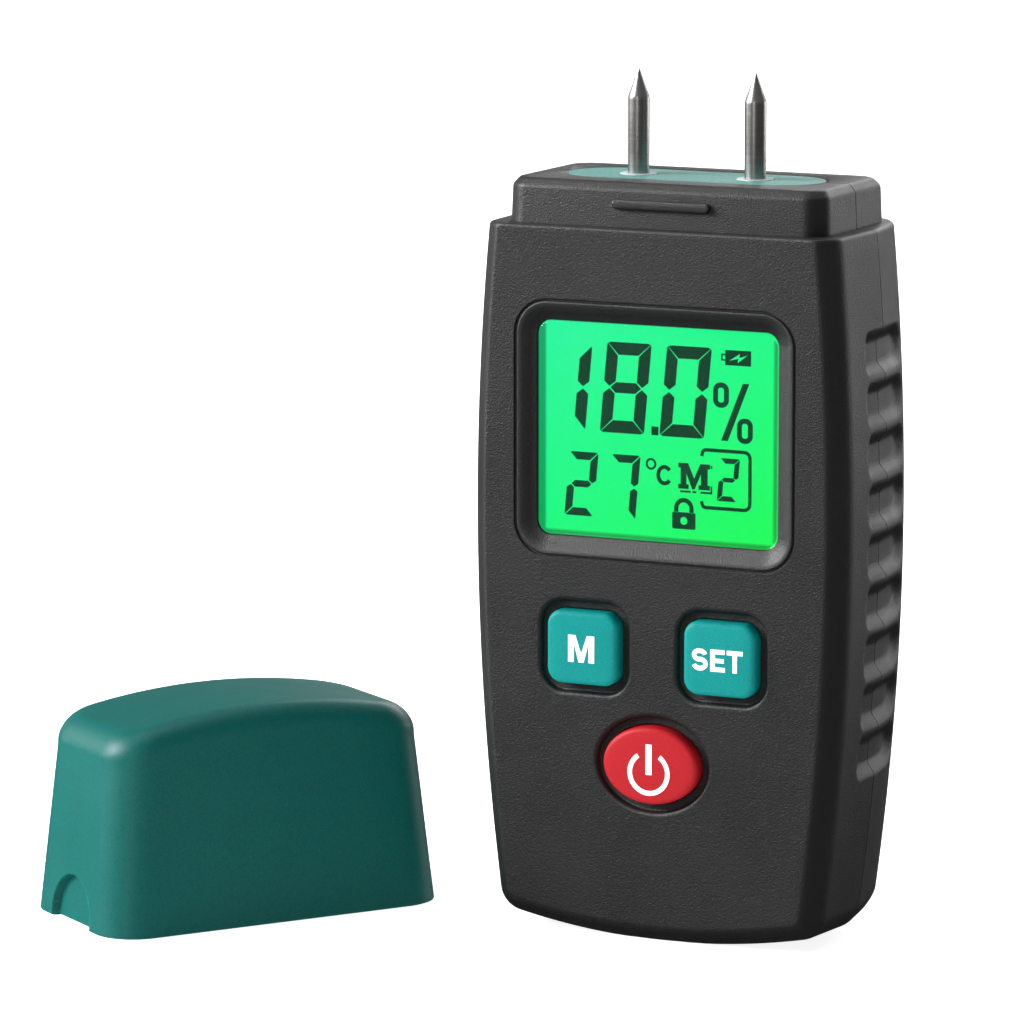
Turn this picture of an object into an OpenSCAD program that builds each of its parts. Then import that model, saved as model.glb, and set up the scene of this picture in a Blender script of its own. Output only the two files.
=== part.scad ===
// Pin-type moisture meter with its protective cap standing beside it.
// Millimetres, +Z up. The front of the meter faces -Y and its two pins point up.
// The origin is the centre of the small flat that the meter stands on.

/* [Case] */
// Width of the case at its waist, where the two shells meet
case_w = 58; // [56:0.5:62]
// Depth of the case, from its front face to its back face
case_d = 29; // [29:0.5:32]
// Height of the shoulder that the head stands on
case_h = 100; // [100:0.5:106]
// Height of the waist, the widest place of the case
waist_z = 60; // [50:1:70]
// Radius of the bowed sides
side_r = 410; // [350:10:600]
// Radius of the bowed bottom
base_r = 105; // [90:5:140]
// Radius of the two bottom corners
corner_r = 4.5; // [3:0.5:6]
// Thickness of the front and back walls
wall = 2.2; // [2:0.1:2.6]
// How far the bowed bottom is cut back to make the flat that the meter stands on
flat_cut = 0.9; // [0.8:0.1:1.2]

/* [Head] */
// Width of the head
head_w = 48.2; // [46:0.2:50]
// Depth of the head
head_d = 24.2; // [23:0.2:25]
// Height of the head above the shoulder
head_h = 6.2; // [6:0.1:8]
// Length of the teal electrode plate
plate_l = 38; // [36:0.5:40]
// Depth of the teal electrode plate
plate_d = 13; // [12:0.5:14]

/* [Pins] */
// Diameter of each pin
pin_d = 3; // [2.6:0.1:3.2]
// Distance between the two pin axes
pin_gap = 17.7; // [16:0.1:20]
// Length of pin that stands out of the head
pin_out = 14.7; // [10:0.1:18]
// Length of the conical point
pin_tip = 3.9; // [3:0.1:5]

/* [Display] */
// Width of the recess around the window
frame_w = 42.2; // [41:0.2:44]
// Height of the recess around the window
frame_h = 36.1; // [35:0.1:37]
// Width of the window
window_w = 36.3; // [34:0.1:37]
// Height of the window
window_h = 30.1; // [29:0.1:31]
// Height of the window's centre above the base
window_z = 71.7; // [71:0.1:72]

/* [Buttons] */
// Distance between the mode and set buttons, centre to centre
key_gap = 20.8; // [20:0.2:22]
// Height of the mode and set buttons above the base
key_z = 41.2; // [40.5:0.1:41.5]
// Width of the mode and set buttons
key_w = 10.8; // [10:0.2:12]
// Height of the mode and set buttons
key_h = 10.4; // [10:0.2:12]
// Height of the power button above the base
power_z = 25.4; // [24.5:0.1:25.6]
// Width of the oval power button
power_w = 14.4; // [13:0.2:16]
// Height of the oval power button
power_h = 11; // [10:0.2:12]
// How far each button stands out of the front face
key_proud = 1.1; // [0.5:0.1:1.5]
// How far each button travels when it is pressed
key_travel = 0.6; // [0.4:0.1:0.6]

/* [Side grips] */
// Number of grooves in each side
groove_count = 9; // [3:1:9]
// Distance from one groove to the next
groove_pitch = 7.05; // [6:0.05:7.5]
// Height of the top groove
groove_top_z = 83.4; // [80:0.1:86]
// Depth of each groove
groove_depth = 0.6; // [0.3:0.1:0.8]

/* [Battery] */
// Width of the nine-volt block battery
battery_w = 26.5; // [26:0.1:26.5]
// Depth of the battery
battery_d = 17.5; // [17:0.1:17.5]
// Height of the battery without its terminals
battery_h = 46.4; // [46:0.1:46.4]
// Height of the battery's bottom above the base
battery_z = 8; // [8:0.1:8.4]

/* [Cap] */
// Width of the cap at its rim
cap_w = 53.4; // [53:0.2:55]
// Depth of the cap at its rim
cap_d = 29; // [28.6:0.2:30]
// Height of the cap
cap_h = 31; // [30:0.5:34]
// Radius of the cap's domed top
cap_top_r = 100; // [90:5:120]
// Where the cap stands beside the meter, left or right
cap_x = -64; // [-80:1:-60]
// Where the cap stands beside the meter, front or back
cap_y = -17; // [-40:1:20]
// How far the cap is turned from the meter
cap_turn = 55; // [0:5:90]
// Play between the head and the inside of the cap, on each side
cap_play = 0.35; // [0.2:0.05:0.5]

/* [Hidden] */
$fn = 48;
tiny = 0.1;

front_y = -case_d / 2;
back_y = case_d / 2;
inner_front_y = front_y + wall;
inner_back_y = back_y - wall;
head_top = case_h + head_h;

// Insets of the case outline at the front face, behind the front chamfer and towards the back
chamfer_depth = 2.7;
front_inset = 3.1;
chamfer_inset = 0.6;
back_steps = [[0, 0], [6.5, 0.7], [12.3, 2.2], [case_d / 2, 4.5]];
front_steps = [[front_y, front_inset], [front_y + chamfer_depth, chamfer_inset], [0, 0]];

// Layers behind the window, by their front faces
lens_y = front_y + 1.5;
lens_t = 1.2;
lens_rim = 0.85;
lcd_y = lens_y + lens_t + 0.1;
lcd_t = 1.7;
lcd_w = 40;
lcd_h = 34;
guide_t = 1.1;
board_y = lcd_y + lcd_t + 0.1 + guide_t;
board_t = 1.4;
board_back = board_y + board_t;
board_top = 90.6;

well_depth = 1;
well_play = 1.35;
stem_play = 0.15;
flange_t = 0.8;
flange_y = inner_front_y + 0.1;
switch_w = 6;
switch_h = 1.6;
nub_h = 0.3;

tray_x = 13.6;
tray_wall = 1.2;
tray_floor_y = board_back + 0.5;
tray_inside_y = tray_floor_y + tray_wall;
tray_low = 7.4;
tray_high = 60.6;
battery_y = tray_inside_y + 0.3 + battery_d / 2;
post_x = 6.35;

door_x = 13.7;
door_gap = 0.3;
door_t = 2;
door_axis = [back_y - door_t / 2, tray_low + 0.95];
door_top = 60.7;
stub_r = 0.7;
stub_play = 0.05;
stub_end = 15;
lug_end = 16.2;

case_screw_at = [[-19, 94], [19, 94], [-18, 12], [18, 12]];
board_screw_at = [[-19.5, 50.6], [19.5, 50.6], [-19.5, 28], [19.5, 28]];
boss_r = 3;
standoff_r = 2.2;

socket_top = 104.4;
shank_low = head_top + 0.25;
neck_r = 1.3;
socket_low = 94;
plate_t = 2.2;
plate_flange = 1;
flange_low = head_top - plate_t - 1.2;

// ---- outlines ----

function arc(c, r, from, to, n) = [for (i = [0 : n]) let (a = from + (to - from) * i / n) c + r * [cos(a), sin(a)]];

// Right half of the case outline, from the shoulder down to the lowest point, pulled in by inset
function half_case(inset) =
    let (
        rs = side_r - inset,
        rb = base_r - inset,
        rc = max(corner_r - inset, 1),
        side_c = [case_w / 2 - side_r, waist_z],
        base_c = [0, base_r - flat_cut],
        gap = base_c - side_c,
        dist = norm(gap),
        along = ((rs - rc) * (rs - rc) - (rb - rc) * (rb - rc) + dist * dist) / (2 * dist),
        across = sqrt((rs - rc) * (rs - rc) - along * along),
        u = gap / dist,
        corner_c = side_c + along * u + across * [u[1], -u[0]],
        from_side = corner_c - side_c,
        from_base = corner_c - base_c,
        a_top = asin((case_h - waist_z) / rs),
        a_side = atan2(from_side[1], from_side[0]),
        a_base = atan2(from_base[1], from_base[0])
    )
    concat(
        arc(side_c, rs, a_top, a_side, 14),
        [for (i = [1 : 5]) corner_c + rc * [cos(a_side + (a_base - a_side) * i / 6), sin(a_side + (a_base - a_side) * i / 6)]],
        arc(base_c, rb, a_base, -90, 6)
    );

// The whole outline: down the left side, along the bottom and up the right side
function case_outline(inset) =
    let (half = half_case(inset))
    concat([for (p = half) [-p[0], p[1]]], [for (i = [len(half) - 2 : -1 : 0]) half[i]]);

// Half-width of the case at height z, at the joint between the shells
function side_at(z) = case_w / 2 - side_r + sqrt(side_r * side_r - (z - waist_z) * (z - waist_z));

function rounded(w, h, r) = concat(
    arc([w / 2 - r, h / 2 - r], r, 0, 90, 8), arc([r - w / 2, h / 2 - r], r, 90, 180, 8),
    arc([r - w / 2, r - h / 2], r, 180, 270, 8), arc([w / 2 - r, r - h / 2], r, 270, 360, 8));

function oval(w, h) = [for (i = [0 : 47]) [w / 2 * cos(i * 7.5), h / 2 * sin(i * 7.5)]];

// ---- tools ----

// A flat outline in X and Z, made solid from y0 back to y1
module slab(y0, y1) {
    translate([0, y1, 0]) rotate([90, 0, 0]) linear_extrude(y1 - y0) children();
}

// A solid through rings of equal count, each running anticlockwise as seen from outside the first one
module through_rings(rings) {
    n = len(rings[0]);
    last = len(rings) - 1;
    points = [for (ring = rings) each ring];
    sides = [for (k = [0 : last - 1], i = [0 : n - 1])
        each [[k * n + i, k * n + (i + 1) % n, (k + 1) * n + (i + 1) % n],
              [k * n + i, (k + 1) * n + (i + 1) % n, (k + 1) * n + i]]];
    first_cap = [for (i = [n - 1 : -1 : 0]) i];
    last_cap = [for (i = [0 : n - 1]) last * n + i];
    polyhedron(points, concat(sides, [first_cap], [last_cap]), convexity = 4);
}

// The case skin through [y, inset] steps, cut level at the bottom
module case_skin(steps) {
    difference() {
        through_rings([for (s = steps) [for (p = case_outline(s[1])) [p[0], s[0], p[1]]]]);
        translate([-40, -40, -10]) cube([80, 80, 10]);
    }
}

// A round rod of the given radius swept along a route of points
module wire(route, r) {
    n = len(route);
    rings = [for (k = [0 : n - 1])
        let (
            t = route[min(k + 1, n - 1)] - route[max(k - 1, 0)],
            d = t / norm(t),
            side = cross(d, [1, 0, 0]),
            a = side / norm(side),
            b = cross(a, d)
        )
        [for (i = [0 : 7]) route[k] + r * (cos(i * 45) * a + sin(i * 45) * b)]];
    through_rings(rings);
}

module along_y(x, z, y0, y1, r) {
    translate([x, y1, z]) rotate([90, 0, 0]) cylinder(h = y1 - y0, r = r);
}

module key_outline(grow) {
    polygon(rounded(key_w + 2 * grow, key_h + 2 * grow, 2.2 + min(grow, 0.8)));
}

module at_mode() { translate([-key_gap / 2, 0, key_z]) children(); }
module at_set() { translate([key_gap / 2, 0, key_z]) children(); }
module at_power() { translate([0, 0, power_z]) children(); }

// ---- case ----

// Rounded grip grooves cut into both sides from y0 back to y1; lean turns them along the sloping back half
module grooves(y0, y1, lean) {
    groove_r = 5;
    for (side = [-1, 1], i = [0 : groove_count - 1]) {
        z = groove_top_z - i * groove_pitch;
        translate([side * side_at(z), 0, z])
            rotate([0, 0, side * lean])
                along_y(side * (groove_r - groove_depth), 0, y0, y1, groove_r);
    }
}

// One half of the head: a block with cut corners whose top edge is eased; side is -1 for the front half
module head_half(side) {
    cut = 2.3;
    function ring(z, inset) = let (w = head_w / 2 - inset, d = head_d / 2 - inset)
        [for (p = [[w, 0], [w, d - cut], [w - cut, d], [cut - w, d], [-w, d - cut], [-w, 0]]) [p[0], side * p[1], z]];
    rings = [ring(case_h - wall, 0), ring(head_top - 1, 0.2), ring(head_top, 0.9)];
    // the ring order runs the other way round on the back half
    through_rings(side < 0 ? rings : [for (r = rings) [for (i = [5 : -1 : 0]) r[i]]]);
    translate([-7.35, side > 0 ? head_d / 2 - 1 : -head_d / 2 - 0.4, case_h + 2.6]) cube([14.7, 1.4, 1.3]);
}

module head_hollow() {
    translate([-head_w / 2 + 2.2, -head_d / 2 + 2.2, case_h - wall - tiny])
        cube([head_w - 4.4, head_d - 4.4, head_top - plate_t - case_h + wall + tiny]);
    translate([0, 0, head_top - plate_t - tiny])
        linear_extrude(plate_t + 2 * tiny) polygon(rounded(plate_l + 0.2, plate_d + 0.2, plate_d / 2));
}

module front_openings() {
    translate([0, 0, window_z]) {
        slab(front_y - tiny, front_y + 0.35) polygon(rounded(frame_w, frame_h, 5));
        slab(front_y - tiny, front_y + 1) polygon(rounded(window_w + 2.6, window_h + 2.6, 3.2));
        slab(front_y - tiny, inner_front_y + tiny) polygon(rounded(window_w, window_h, 2));
        slab(lens_y, inner_front_y + tiny)
            polygon(rounded(window_w + 2 * lens_rim + 0.3, window_h + 2 * lens_rim + 0.3, 2.6));
    }
    for (x = [-1, 1]) translate([x * key_gap / 2, 0, key_z]) {
        slab(front_y - tiny, front_y + well_depth) key_outline(well_play);
        slab(front_y - tiny, inner_front_y + tiny) key_outline(stem_play);
    }
    at_power() {
        slab(front_y - tiny, front_y + well_depth) polygon(oval(power_w + 2.4, power_h + 2.4));
        slab(front_y - tiny, inner_front_y + tiny)
            polygon(oval(power_w + 2 * stem_play, power_h + 2 * stem_play));
    }
}

module front_shell() {
    color([0.04, 0.04, 0.042])
    difference() {
        union() {
            difference() {
                case_skin(front_steps);
                slab(inner_front_y, -9) polygon(case_outline(3.8));
                slab(-9 - tiny, tiny) polygon(case_outline(2.7));
            }
            difference() {
                slab(inner_front_y - tiny, 0) translate([0, case_h - wall / 2]) square([46, wall], center = true);
                translate([-16, -7, case_h - wall - 1]) cube([32, 8, wall + 2]);
            }
            head_half(-1);
            for (p = case_screw_at) along_y(p[0], p[1], inner_front_y - tiny, -0.4, boss_r);
            for (p = board_screw_at) along_y(p[0], p[1], inner_front_y - tiny, board_y, standoff_r);
        }
        grooves(-6, tiny, 0);
        head_hollow();
        front_openings();
        for (p = case_screw_at) along_y(p[0], p[1], -8, 0, 1.05);
        for (p = board_screw_at) along_y(p[0], p[1], board_y - 2.4, board_y + tiny, 0.8);
    }
}

module rear_shell() {
    color([0.04, 0.04, 0.042])
    difference() {
        union() {
            difference() {
                case_skin(back_steps);
                slab(-tiny, 6) polygon(case_outline(3));
                slab(6 - tiny, inner_back_y) polygon(case_outline(5));
            }
            difference() {
                slab(0, inner_back_y + tiny) translate([0, case_h - wall / 2]) square([44, wall], center = true);
                translate([-16, -1, case_h - wall - 1]) cube([32, 8, wall + 2]);
            }
            head_half(1);
            for (p = case_screw_at) along_y(p[0], p[1], -0.3, inner_back_y + tiny, boss_r);
            translate([-tray_x - tray_wall, tray_floor_y, tray_low - tray_wall])
                cube([2 * (tray_x + tray_wall), inner_back_y - tray_floor_y + tiny, tray_high - tray_low + 2 * tray_wall]);
            for (x = [-lug_end, tray_x]) translate([x, inner_back_y - 2.2, door_axis[1] - 2.2])
                cube([lug_end - tray_x, 4, 4.4]);
        }
        grooves(-tiny, 10, 7);
        head_hollow();
        translate([-tray_x, tray_inside_y, tray_low])
            cube([2 * tray_x, back_y - tray_inside_y + tiny, tray_high - tray_low]);
        slab(back_y - door_t - door_gap, back_y + tiny)
            translate([-door_x - door_gap, door_axis[1] - 1 - door_gap])
                square([2 * (door_x + door_gap), door_top - door_axis[1] + 1 + 2 * door_gap]);
        // way through the tray's top wall for the battery leads
        translate([-10, 0, tray_high - tiny]) cube([20, 7, tray_wall + 2 * tiny]);
        translate([-stub_end - 0.3, door_axis[0], door_axis[1]])
            rotate([0, 90, 0]) cylinder(h = 2 * stub_end + 0.6, r = stub_r + stub_play);
        for (p = case_screw_at) {
            along_y(p[0], p[1], -1, back_y + tiny, 1.35);
            along_y(p[0], p[1], back_y - 2, back_y + tiny, 2.5);
        }
    }
}

module battery_door() {
    color([0.045, 0.045, 0.047]) {
        difference() {
            translate([-door_x, back_y - door_t, door_axis[1]]) cube([2 * door_x, door_t, door_top - door_axis[1]]);
            // finger recess under the latch
            translate([0, back_y + 5.2, door_top - 6]) sphere(r = 6);
        }
        translate([-door_x, door_axis[0], door_axis[1]]) rotate([0, 90, 0]) cylinder(h = 2 * door_x, r = door_t / 2);
        translate([-stub_end, door_axis[0], door_axis[1]]) rotate([0, 90, 0]) cylinder(h = 2 * stub_end, r = stub_r);
    }
}

// ---- head parts ----

module electrode_plate() {
    color([0.0, 0.5, 0.45])
    difference() {
        union() {
            translate([0, 0, head_top - plate_t]) linear_extrude(plate_t) polygon(rounded(plate_l, plate_d, plate_d / 2 - 0.1));
            translate([0, 0, flange_low]) linear_extrude(head_top - plate_t - flange_low)
                polygon(rounded(plate_l + 2 * plate_flange, plate_d + 2 * plate_flange, plate_d / 2));
        }
        for (x = [-1, 1]) translate([x * pin_gap / 2, 0, flange_low - 1]) cylinder(h = 6, r = 2.7);
    }
}

module collar(x) {
    color([0.93, 0.93, 0.9])
    translate([x, 0, 0]) difference() {
        union() {
            translate([0, 0, 101.6]) cylinder(h = head_top + 0.1 - 101.6, r = 2.65);
            translate([0, 0, 101.6]) cylinder(h = flange_low - 101.6, r = 3.5);
        }
        translate([0, 0, 101]) cylinder(h = socket_top - 101, r = 2.03);
        translate([0, 0, 104]) cylinder(h = 4, r = neck_r + 0.03);
    }
}

module pin(x) {
    top = head_top + pin_out;
    color([0.75, 0.76, 0.78])
    translate([x, 0, 0]) {
        translate([0, 0, shank_low]) cylinder(h = top - pin_tip - shank_low, r = pin_d / 2);
        translate([0, 0, socket_top]) cylinder(h = shank_low - socket_top, r = neck_r);
        translate([0, 0, top - pin_tip]) cylinder(h = pin_tip, r1 = pin_d / 2, r2 = 0.08);
        translate([0, 0, 98.2]) cylinder(h = socket_top - 98.2, r = 1.22);
    }
}

module socket(x) {
    color([0.8, 0.62, 0.3])
    translate([x, 0, 0]) {
        difference() {
            translate([0, 0, socket_low]) cylinder(h = socket_top - socket_low, r = 2);
            translate([0, 0, 97.8]) cylinder(h = 8, r = 1.25);
        }
        translate([-0.9, -0.25, socket_low - 2]) cube([1.8, 0.5, 2]);
    }
}

// Wire from a socket's solder tag down to the back of the board
module probe_wire(side) {
    color([0.85, 0.85, 0.2])
    wire([for (p = [[8.9, -0.9, 92.4], [9.2, -2, 91.8], [9.6, -3.6, 90.4], [10, -5, 88.4], [10, -6.2, 87], [10, -7.3, 86.6]])
        [side * p[0], p[1], p[2]]], 0.55);
}

// ---- display ----

module display_lens() {
    color([0.5, 0.9, 0.7, 0.4])
    translate([0, 0, window_z]) slab(lens_y, lens_y + lens_t)
        polygon(rounded(window_w + 2 * lens_rim, window_h + 2 * lens_rim, 2.5));
}

module lcd_panel() {
    color([0.1, 0.85, 0.55])
    translate([-lcd_w / 2, lcd_y, window_z - lcd_h / 2]) cube([lcd_w, lcd_t, lcd_h]);
}

module light_guide() {
    color([0.85, 0.95, 0.9])
    translate([-lcd_w / 2 + 1.8, board_y - guide_t + 0.02, window_z - lcd_h / 2 + 1.5])
        cube([lcd_w - 1.8, guide_t - 0.04, lcd_h - 1.5]);
}

module backlight_leds() {
    color([0.2, 0.9, 0.4])
    for (z = [-8, 8]) translate([-lcd_w / 2 + 0.2, board_y - 1, window_z + z - 1.5]) cube([1.5, 1, 3]);
}

module display_frame() {
    color([0.9, 0.9, 0.9])
    translate([0, 0, window_z]) difference() {
        slab(lcd_y, board_y) polygon(rounded(lcd_w + 3.6, lcd_h + 3.6, 1.5));
        slab(lcd_y - tiny, board_y + tiny) polygon(rounded(lcd_w + 0.2, lcd_h + 0.2, 0.3));
    }
}

module contact_strip() {
    color([0.25, 0.25, 0.27])
    translate([-17, lcd_y + lcd_t, window_z - lcd_h / 2 + 0.1]) cube([34, board_y - lcd_y - lcd_t, 1.2]);
}

// ---- board ----

module main_board() {
    half = [[0, 8], [20, 8], [21.5, 20], [23.5, 42], [23.5, board_top], [0, board_top]];
    color([0.02, 0.3, 0.14])
    difference() {
        slab(board_y, board_back) {
            polygon(half);
            mirror([1, 0]) polygon(half);
        }
        for (x = [-18, 18]) along_y(x, 12, board_y - 1, board_back + 1, boss_r + 0.4);
        for (p = board_screw_at) along_y(p[0], p[1], board_y - 1, board_back + 1, 1.2);
    }
}

module controller_chip() {
    color([0.03, 0.03, 0.03])
    translate([-4.5, board_back, 76]) cube([9, 1.4, 9]);
}

module board_parts() {
    color([0.55, 0.45, 0.35]) {
        for (x = [-14, -11, 9, 12, 15]) translate([x, board_back, 78]) cube([1.6, 0.9, 0.8]);
        for (x = [-14, -11, 12, 15]) translate([x, board_back, 74]) cube([1.6, 0.9, 0.8]);
        along_y(16, 68, board_back, board_back + 3, 2);
        translate([-18, board_back, 66]) cube([7, 1.6, 2.4]);
    }
}

// A glass bead on two legs that stand on the board's top edge
module temperature_sensor() {
    color([0.7, 0.45, 0.15])
    translate([17, board_y + board_t / 2, 0]) {
        translate([0, 0, board_top + 3.2]) sphere(r = 1);
        for (x = [-0.5, 0.5]) translate([x, 0, board_top]) cylinder(h = 3, r = 0.22);
    }
}

module key_switch() {
    color([0.7, 0.7, 0.72]) {
        slab(board_y - switch_h, board_y) square([switch_w, switch_w], center = true);
        along_y(0, 0, board_y - switch_h - nub_h, board_y - switch_h, 1.6);
    }
}

// ---- buttons ----

// A button cap: crown with an eased edge, stem, and the flange that keeps it in the shell
module button_of(w, h, oval_shape) {
    crown_y = front_y - key_proud;
    ease = 0.6;
    function plan(grow) = oval_shape
        ? oval(w + 2 * grow, h + 2 * grow) : rounded(w + 2 * grow, h + 2 * grow, 2.4 + grow);
    through_rings([
        [for (p = plan(-ease)) [p[0], crown_y, p[1]]],
        [for (p = plan(0)) [p[0], crown_y + ease, p[1]]],
        [for (p = plan(0)) [p[0], flange_y, p[1]]]
    ]);
    slab(flange_y, flange_y + flange_t) polygon(plan(0.9));
}

module mode_button() { color([0.0, 0.6, 0.55]) at_mode() button_of(key_w, key_h, false); }
module set_button() { color([0.0, 0.6, 0.55]) at_set() button_of(key_w, key_h, false); }
module power_button() { color([0.8, 0.1, 0.15]) at_power() button_of(power_w, power_h, true); }

module mode_switch() { at_mode() key_switch(); }
module set_switch() { at_set() key_switch(); }
module power_switch() { at_power() key_switch(); }

// ---- battery ----

module battery() {
    top = battery_z + battery_h;
    color([0.35, 0.36, 0.38]) {
        translate([-battery_w / 2, battery_y - battery_d / 2, battery_z]) cube([battery_w, battery_d, battery_h]);
        translate([-post_x, battery_y, top]) cylinder(h = 2.1, r = 2.8);
        translate([post_x, battery_y, top]) cylinder(h = 2.1, r = 3.8);
    }
}

module battery_snap() {
    low = battery_z + battery_h + 2.1;
    color([0.06, 0.06, 0.06]) {
        translate([-12.5, battery_y - 6, low]) cube([25, 12, 2.6]);
        // a ring that grips the small post
        translate([-post_x, battery_y, low - 1.9]) difference() {
            cylinder(h = 2, r = 3.7);
            translate([0, 0, -1]) cylinder(h = 2.9, r = 2.85);
        }
    }
}

module lead(side) {
    top = battery_z + battery_h + 4.7;
    wire([for (p = [[6.3, 3.4, top], [6.4, 3.4, top + 1.6], [7, 2.8, 63.4], [7.8, 0.6, 66], [8, -2.6, 68.4],
                    [7.6, -5, 69.8], [7, -6.4, 70.4], [7, -7.3, 70.6]])
        [side * p[0], p[1], p[2]]], 0.65);
}

module red_lead() { color([0.75, 0.05, 0.05]) lead(1); }
module black_lead() { color([0.05, 0.05, 0.05]) lead(-1); }

// ---- screws ----

module case_screws() {
    color([0.6, 0.6, 0.62])
    for (p = case_screw_at) {
        along_y(p[0], p[1], back_y - 2, back_y - 0.5, 2.3);
        along_y(p[0], p[1], -7.5, back_y - 2, 1.02);
    }
}

module board_screws() {
    color([0.6, 0.6, 0.62])
    for (p = board_screw_at) {
        along_y(p[0], p[1], board_back, board_back + 1.3, 1.9);
        along_y(p[0], p[1], board_y - 2, board_back, 0.78);
    }
}

// ---- cap ----

module cap() {
    lean = 0.078;
    outer_r = 6;
    hollow_w = head_w + 2 * cap_play;
    hollow_d = head_d + 2 * cap_play;
    skirt = head_h + 0.8;
    function ring(z) = [for (p = rounded(cap_w - 2 * lean * z, cap_d - 2 * lean * z, outer_r)) [p[0], p[1], z]];
    color([0.0, 0.36, 0.33])
    translate([cap_x, cap_y, 0]) rotate([0, 0, cap_turn])
    difference() {
        intersection() {
            through_rings([ring(cap_h + 1), ring(0)]);
            translate([0, 40, cap_h - cap_top_r]) rotate([90, 0, 0]) cylinder(h = 80, r = cap_top_r, $fn = 180);
        }
        translate([0, 0, -tiny]) linear_extrude(skirt + tiny) polygon(rounded(hollow_w, hollow_d, 2.4));
        translate([0, 0, skirt - tiny]) linear_extrude(17.6) polygon(rounded(44.6, 20.6, 3));
        // grooves for the ridges on the front and back of the head
        for (side = [-1, 1]) translate([-7.7, side * (hollow_d / 2 + 0.05) - 0.55, 2.4]) cube([15.4, 1.1, 1.7]);
        // a thumb hollow with a round top at each end of the rim
        for (side = [-1, 1]) translate([side * (cap_w / 2 - 1.2), 0, 0]) {
            translate([side > 0 ? 0 : -4, -6.1, -tiny]) cube([4, 12.2, 0.9 + tiny]);
            translate([side > 0 ? 0 : -4, 0, 0.9]) rotate([0, 90, 0]) cylinder(h = 4, r = 6.1);
        }
    }
}

front_shell();
rear_shell();
battery_door();
electrode_plate();
collar(-pin_gap / 2);  // left_collar
collar(pin_gap / 2);  // right_collar
pin(-pin_gap / 2);  // left_pin
pin(pin_gap / 2);  // right_pin
socket(-pin_gap / 2);  // left_socket
socket(pin_gap / 2);  // right_socket
probe_wire(-1);  // left_probe_wire
probe_wire(1);  // right_probe_wire
display_lens();
lcd_panel();
light_guide();
backlight_leds();
display_frame();
contact_strip();
main_board();
controller_chip();
board_parts();
temperature_sensor();
mode_switch();
set_switch();
power_switch();
mode_button();
set_button();
power_button();
battery();
battery_snap();
red_lead();
black_lead();
case_screws();
board_screws();
cap();
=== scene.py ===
"""A pin-type moisture meter with its protective cap, built round its CAD frame.

Lengths are in millimetres until a piece is made, then metres. Front is -Y and the pins point up.
"""

import math

import bmesh
import bpy
import numpy as np
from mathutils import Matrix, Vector, geometry


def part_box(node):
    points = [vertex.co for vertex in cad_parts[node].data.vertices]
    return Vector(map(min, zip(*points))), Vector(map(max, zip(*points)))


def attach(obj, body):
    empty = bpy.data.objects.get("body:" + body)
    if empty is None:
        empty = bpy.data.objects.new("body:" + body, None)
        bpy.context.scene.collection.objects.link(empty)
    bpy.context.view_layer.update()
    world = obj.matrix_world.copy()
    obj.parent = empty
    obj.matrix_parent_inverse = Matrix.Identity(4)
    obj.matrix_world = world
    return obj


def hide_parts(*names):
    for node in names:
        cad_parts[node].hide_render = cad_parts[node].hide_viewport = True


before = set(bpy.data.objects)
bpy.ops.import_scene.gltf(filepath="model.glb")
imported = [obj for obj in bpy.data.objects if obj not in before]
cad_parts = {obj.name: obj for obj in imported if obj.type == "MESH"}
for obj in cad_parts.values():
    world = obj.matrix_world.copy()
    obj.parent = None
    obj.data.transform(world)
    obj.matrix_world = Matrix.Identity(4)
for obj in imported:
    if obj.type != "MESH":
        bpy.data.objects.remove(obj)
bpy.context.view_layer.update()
MM = 0.001
scene = bpy.context.scene


# ---------------------------------------------------------------------------
# Camera, floor and studio lights: a long lens looks a little down on the front and right side. The meter
# stands on a seamless white sheet, lit through from below. A large soft panel lights it from the front
# left, others from the sides and behind, and the room is darker near the ground.

def look_from(obj, place, target):
    """Stands obj at place, in millimetres, turned so that its -Z axis points at target."""
    place, target = Vector(place) * MM, Vector(target) * MM
    obj.location = place
    obj.rotation_euler = (target - place).to_track_quat("-Z", "Y").to_euler()


def fill(node, inputs):
    """Gives each named input of a shader node a number, a colour, or the output that it is linked from."""
    for socket, value in inputs.items():
        if isinstance(value, bpy.types.NodeSocket):
            node.id_data.links.new(value, node.inputs[socket])
        else:
            node.inputs[socket].default_value = value
    return node


def added(tree, kind, inputs={}, **fields):
    """Adds one shader node to a tree, sets its fields, then fills its inputs."""
    node = tree.nodes.new("ShaderNode" + kind)
    for field, value in fields.items():
        setattr(node, field, value)
    return fill(node, inputs)


camera = bpy.data.objects.new("camera", bpy.data.cameras.new("camera"))
camera.data.lens = 213
camera.data.sensor_width = 36
camera.data.clip_end = 20
look_from(camera, (338, -768, 195.5), (-23.2, -11, 58.9))
scene.collection.objects.link(camera)
scene.camera = camera

floor_mesh = bpy.data.meshes.new("floor")
floor_mesh.from_pydata([(-6, -6, 0), (6, -6, 0), (6, 6, 0), (-6, 6, 0)], [], [(0, 1, 2, 3)])
floor = bpy.data.objects.new("floor", floor_mesh)
scene.collection.objects.link(floor)
floor_paint = bpy.data.materials.new("floor_paint")
floor_paint.use_nodes = True
fill(floor_paint.node_tree.nodes["Principled BSDF"], {
    "Base Color": (0.8, 0.8, 0.8, 1), "Roughness": 0.8, "Emission Color": (1, 1, 1, 1), "Emission Strength": 0.86})
floor_mesh.materials.append(floor_paint)
floor.visible_glossy = floor.visible_transmission = False

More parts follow.
